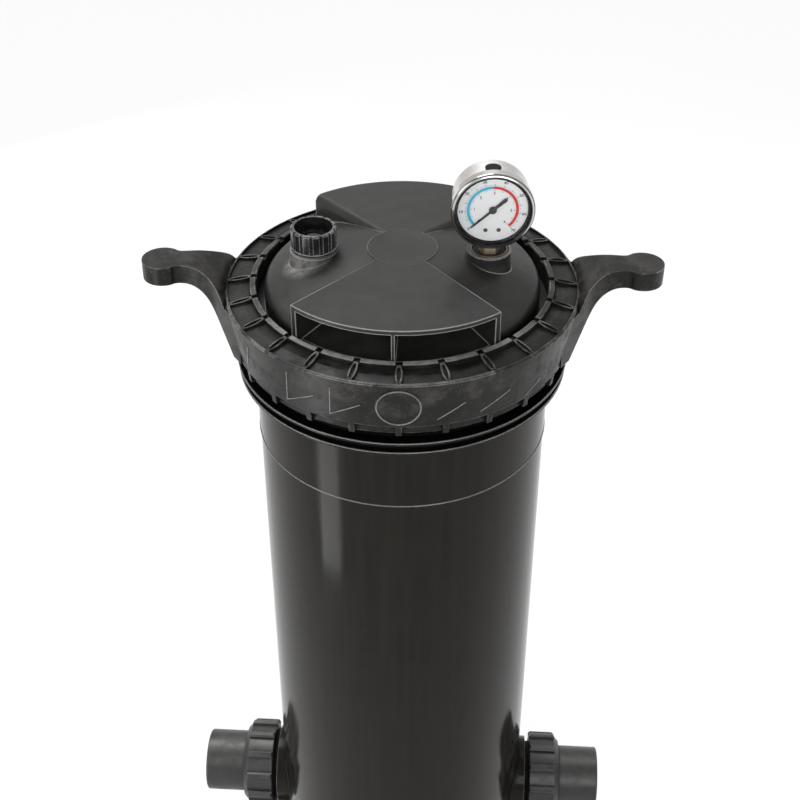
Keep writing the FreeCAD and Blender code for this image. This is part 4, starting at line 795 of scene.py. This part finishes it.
def medallion_rim():
    """Raised rim round the bare disc on the front of the ring, coloured light as a painted highlight."""
    angle = math.radians(MEDALLION_TURN)
    outward = Vector((math.cos(angle), math.sin(angle), 0.0))
    across = Vector((-math.sin(angle), math.cos(angle), 0.0))
    radius = MEDALLION_RADIUS - MEDALLION_RIM / 2.0 - MEDALLION_RIM_INSET
    steps = 72

    def build(bm):
        points = []
        normals = []
        for i in range(steps):
            turn = math.tau * i / steps
            side = radius * math.cos(turn)
            drop = MEDALLION_DROP - radius * math.sin(turn)
            reach = math.sqrt((RING_TOP_RADIUS - RING_SLOPE * drop + MEDALLION_PROUD) ** 2 - side ** 2)
            point = outward * reach + across * side
            point.z = ring_top() - drop
            points.append(point)
            normals.append(Vector((point.x, point.y, -RING_SLOPE * RING_TOP_RADIUS)).normalized())
        raised_stroke(bm, points, normals, stroke_profile(MEDALLION_RIM, MEDALLION_RIM_HEIGHT), True)

    mesh_piece("medallion_rim", build, FINISHES["ring_mark"], "lock_ring")


def rolled_lip(name, radius, height):
    """Rounded glossy edge round the tank, coloured light as a painted highlight: a ring of round section,
    partly sunk in the shell.
    """
    around = 180
    section = 10

    def build(bm):
        rows = []
        for i in range(around):
            turn = math.tau * i / around
            row = []
            for j in range(section):
                roll = math.tau * j / section
                reach = radius + LIP_ROLL * math.cos(roll)
                row.append(bm.verts.new((reach * math.cos(turn), reach * math.sin(turn),
                                         height + LIP_ROLL * math.sin(roll))))
            rows.append(row)
        for i in range(around):
            here, there = rows[i], rows[(i + 1) % around]
            for j in range(section):
                k = (j + 1) % section
                bm.faces.new((here[j], there[j], there[k], here[k]))
        bmesh.ops.recalc_face_normals(bm, faces=bm.faces)

    mesh_piece(name, build, FINISHES["lip"], "tank", True)


def tank_lips():
    """Rolled edges of the band and of the two flange rims."""
    foot = ring_foot()
    rolled_lip("band_lip", BAND_RADIUS - BAND_LIP_SINK * LIP_ROLL, foot - BAND_DROP + LIP_ROLL)
    sink = RIM_LIP_SINK * LIP_ROLL
    rolled_lip("upper_rim_lip", UPPER_RIM_RADIUS - sink, foot - UPPER_RIM_DROP - sink)
    rolled_lip("lower_rim_lip", LOWER_RIM_RADIUS - sink, foot - LOWER_RIM_DROP - sink)


def dial_centre():
    """Middle of the dial's front face."""
    low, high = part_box("gauge_dial")
    return (low + high) / 2.0 + gauge_axis()[0] * (DIAL_THICKNESS / 2.0)


def on_dial(centre, radius, degrees, lift=PRINT_LIFT):
    """Point in front of the dial, at an angle from the right as it is read."""
    facing, across = gauge_axis()
    angle = math.radians(degrees)
    up = Vector((0.0, 0.0, radius * math.sin(angle)))
    return centre + across * (radius * math.cos(angle)) + up + facing * lift


def dial_angle(share):
    """Angle of a reading, as a share of the whole scale, going clockwise from zero."""
    return DIAL_ZERO - DIAL_SWEEP * share


def band(bm, centre, inner, outer, start, stop):
    """Flat curved strip of ink between two angles."""
    steps = 48
    rows = []
    for i in range(steps + 1):
        degrees = start + (stop - start) * i / steps
        rows.append([bm.verts.new(on_dial(centre, radius, degrees)) for radius in (inner, outer)])
    for here, there in zip(rows, rows[1:]):
        bm.faces.new((here[0], here[1], there[1], there[0]))


def tick(bm, centre, inner, outer, degrees, width):
    """Straight ink mark that points at the centre."""
    side = (on_dial(centre, 1.0, degrees + 90.0, 0.0) - centre) * (width / 2.0)
    corners = [on_dial(centre, inner, degrees) - side, on_dial(centre, outer, degrees) - side,
               on_dial(centre, outer, degrees) + side, on_dial(centre, inner, degrees) + side]
    bm.faces.new([bm.verts.new(corner) for corner in corners])


def dial_arcs():
    """The blue and the red range."""
    centre = dial_centre()
    inner = ARC_RADIUS - ARC_WIDTH / 2.0
    outer = ARC_RADIUS + ARC_WIDTH / 2.0
    change = dial_angle(SAFE_SHARE)
    mesh_piece("dial_blue_arc", lambda bm: band(bm, centre, inner, outer, dial_angle(0.0), change),
               FINISHES["blue"], "lid")
    mesh_piece("dial_red_arc", lambda bm: band(bm, centre, inner, outer, change, dial_angle(1.0)),
               FINISHES["red"], "lid")


def dial_ticks():
    """Tick marks of both scales."""
    centre = dial_centre()

    def build(bm):
        for labels, _, _, short, long in DIAL_SCALES:
            steps = TICKS_PER_LABEL * (len(labels) - 1)
            for i in range(steps + 1):
                if i % LONG_TICK_EVERY == 0:
                    (inner, outer), width = long, LONG_TICK_WIDTH
                else:
                    (inner, outer), width = short, SHORT_TICK_WIDTH
                tick(bm, centre, inner * MM, outer * MM, dial_angle(i / steps), width)

    mesh_piece("dial_ticks", build, FINISHES["ink"], "lid")


def dial_number(text, share, radius, size):
    """Upright printed number, as a flat mesh on the dial."""
    curve = bpy.data.curves.new("number", type="FONT")
    curve.body = text
    curve.size = size
    curve.offset = NUMBER_WEIGHT * size
    curve.align_x = "CENTER"
    curve.align_y = "CENTER"
    curve.resolution_u = 3
    letter = bpy.data.objects.new("number", curve)
    bpy.context.scene.collection.objects.link(letter)
    bpy.context.view_layer.update()
    mesh = bpy.data.meshes.new_from_object(letter.evaluated_get(bpy.context.evaluated_depsgraph_get()))
    bpy.data.objects.remove(letter)
    facing, across = gauge_axis()
    upright = Matrix((across, Vector((0.0, 0.0, 1.0)), facing)).transposed().to_4x4()
    mesh.transform(Matrix.Translation(on_dial(dial_centre(), radius, dial_angle(share))) @ upright)
    return mesh


def dial_numbers():
    """Numbers of both scales, as one piece."""
    meshes = []
    for labels, radius, size, _, _ in DIAL_SCALES:
        for i, text in enumerate(labels):
            meshes.append(dial_number(text, i / (len(labels) - 1), radius * MM, size * MM))

    def build(bm):
        for mesh in meshes:
            bm.from_mesh(mesh)

    mesh_piece("dial_numbers", build, FINISHES["ink"], "lid")


# Studio

def area_lamp(name, place, aim, width, height, power, mirrored):
    """Rectangular lamp that the camera doesn't see."""
    lamp = bpy.data.lights.new(name, "AREA")
    lamp.shape = "RECTANGLE"
    lamp.size = width
    lamp.size_y = height
    lamp.energy = power
    holder = bpy.data.objects.new(name, lamp)
    holder.location = place
    holder.rotation_euler = (Vector(aim) - Vector(place)).to_track_quat("-Z", "Y").to_euler()
    holder.visible_camera = False
    holder.visible_glossy = mirrored
    bpy.context.scene.collection.objects.link(holder)


def studio():
    """Floor, overhead light and lamps."""
    bpy.ops.mesh.primitive_plane_add(size=FLOOR_SIZE)
    floor = bpy.context.object
    floor.name = "studio_floor"
    floor.data.materials.append(studio_floor())
    sun = bpy.data.lights.new("overhead", "SUN")
    sun.energy = SUN_STRENGTH
    sun.angle = math.radians(SUN_SIZE)
    holder = bpy.data.objects.new("overhead", sun)
    holder.rotation_euler = [math.radians(tilt) for tilt in SUN_TILT]
    bpy.context.scene.collection.objects.link(holder)
    for lamp in LAMPS:
        area_lamp(*lamp)


def sky():
    """Even soft light from all round, which the camera, metal and glass see as a pale backdrop."""
    world = bpy.data.worlds.new("studio_world")
    bpy.context.scene.world = world
    world.use_nodes = True
    tree = world.node_tree
    background = tree.nodes["Background"]
    background.inputs["Color"].default_value = (1.0, 1.0, 1.0, 1.0)
    seen = product(tree, ray_mask(tree, "Is Camera Ray", "Is Transmission Ray"), SKY_SEEN)
    mirrored = product(tree, ray_mask(tree, "Is Glossy Ray"), SKY_MIRRORED)
    strength = calculate(tree, "MAXIMUM", seen, mirrored)
    tree.links.new(calculate(tree, "MAXIMUM", strength, SKY_LIGHT), background.inputs["Strength"])


def camera():
    """Camera where the photograph was taken from."""
    turn = math.radians(CAMERA_TURN)
    rise = math.radians(CAMERA_ELEVATION)
    target = Vector((TARGET_SIDE * math.cos(turn), TARGET_SIDE * math.sin(turn),
                     ring_top() - TARGET_BELOW_RING))
    away = Vector((math.sin(turn) * math.cos(rise), -math.cos(turn) * math.cos(rise), math.sin(rise)))
    data = bpy.data.cameras.new("photo_camera")
    data.lens = LENS
    data.sensor_width = SENSOR_WIDTH
    data.clip_start = 0.05
    data.clip_end = 30.0
    holder = bpy.data.objects.new("photo_camera", data)
    holder.location = target + away * CAMERA_DISTANCE
    holder.rotation_euler = (-away).to_track_quat("-Z", "Y").to_euler()
    bpy.context.scene.collection.objects.link(holder)
    bpy.context.scene.camera = holder


paint_nodes()
ring_marks()
medallion_rim()
tank_lips()
dial_arcs()
dial_ticks()
dial_numbers()
studio()
sky()
camera()
bpy.context.scene.view_settings.view_transform = "Standard"
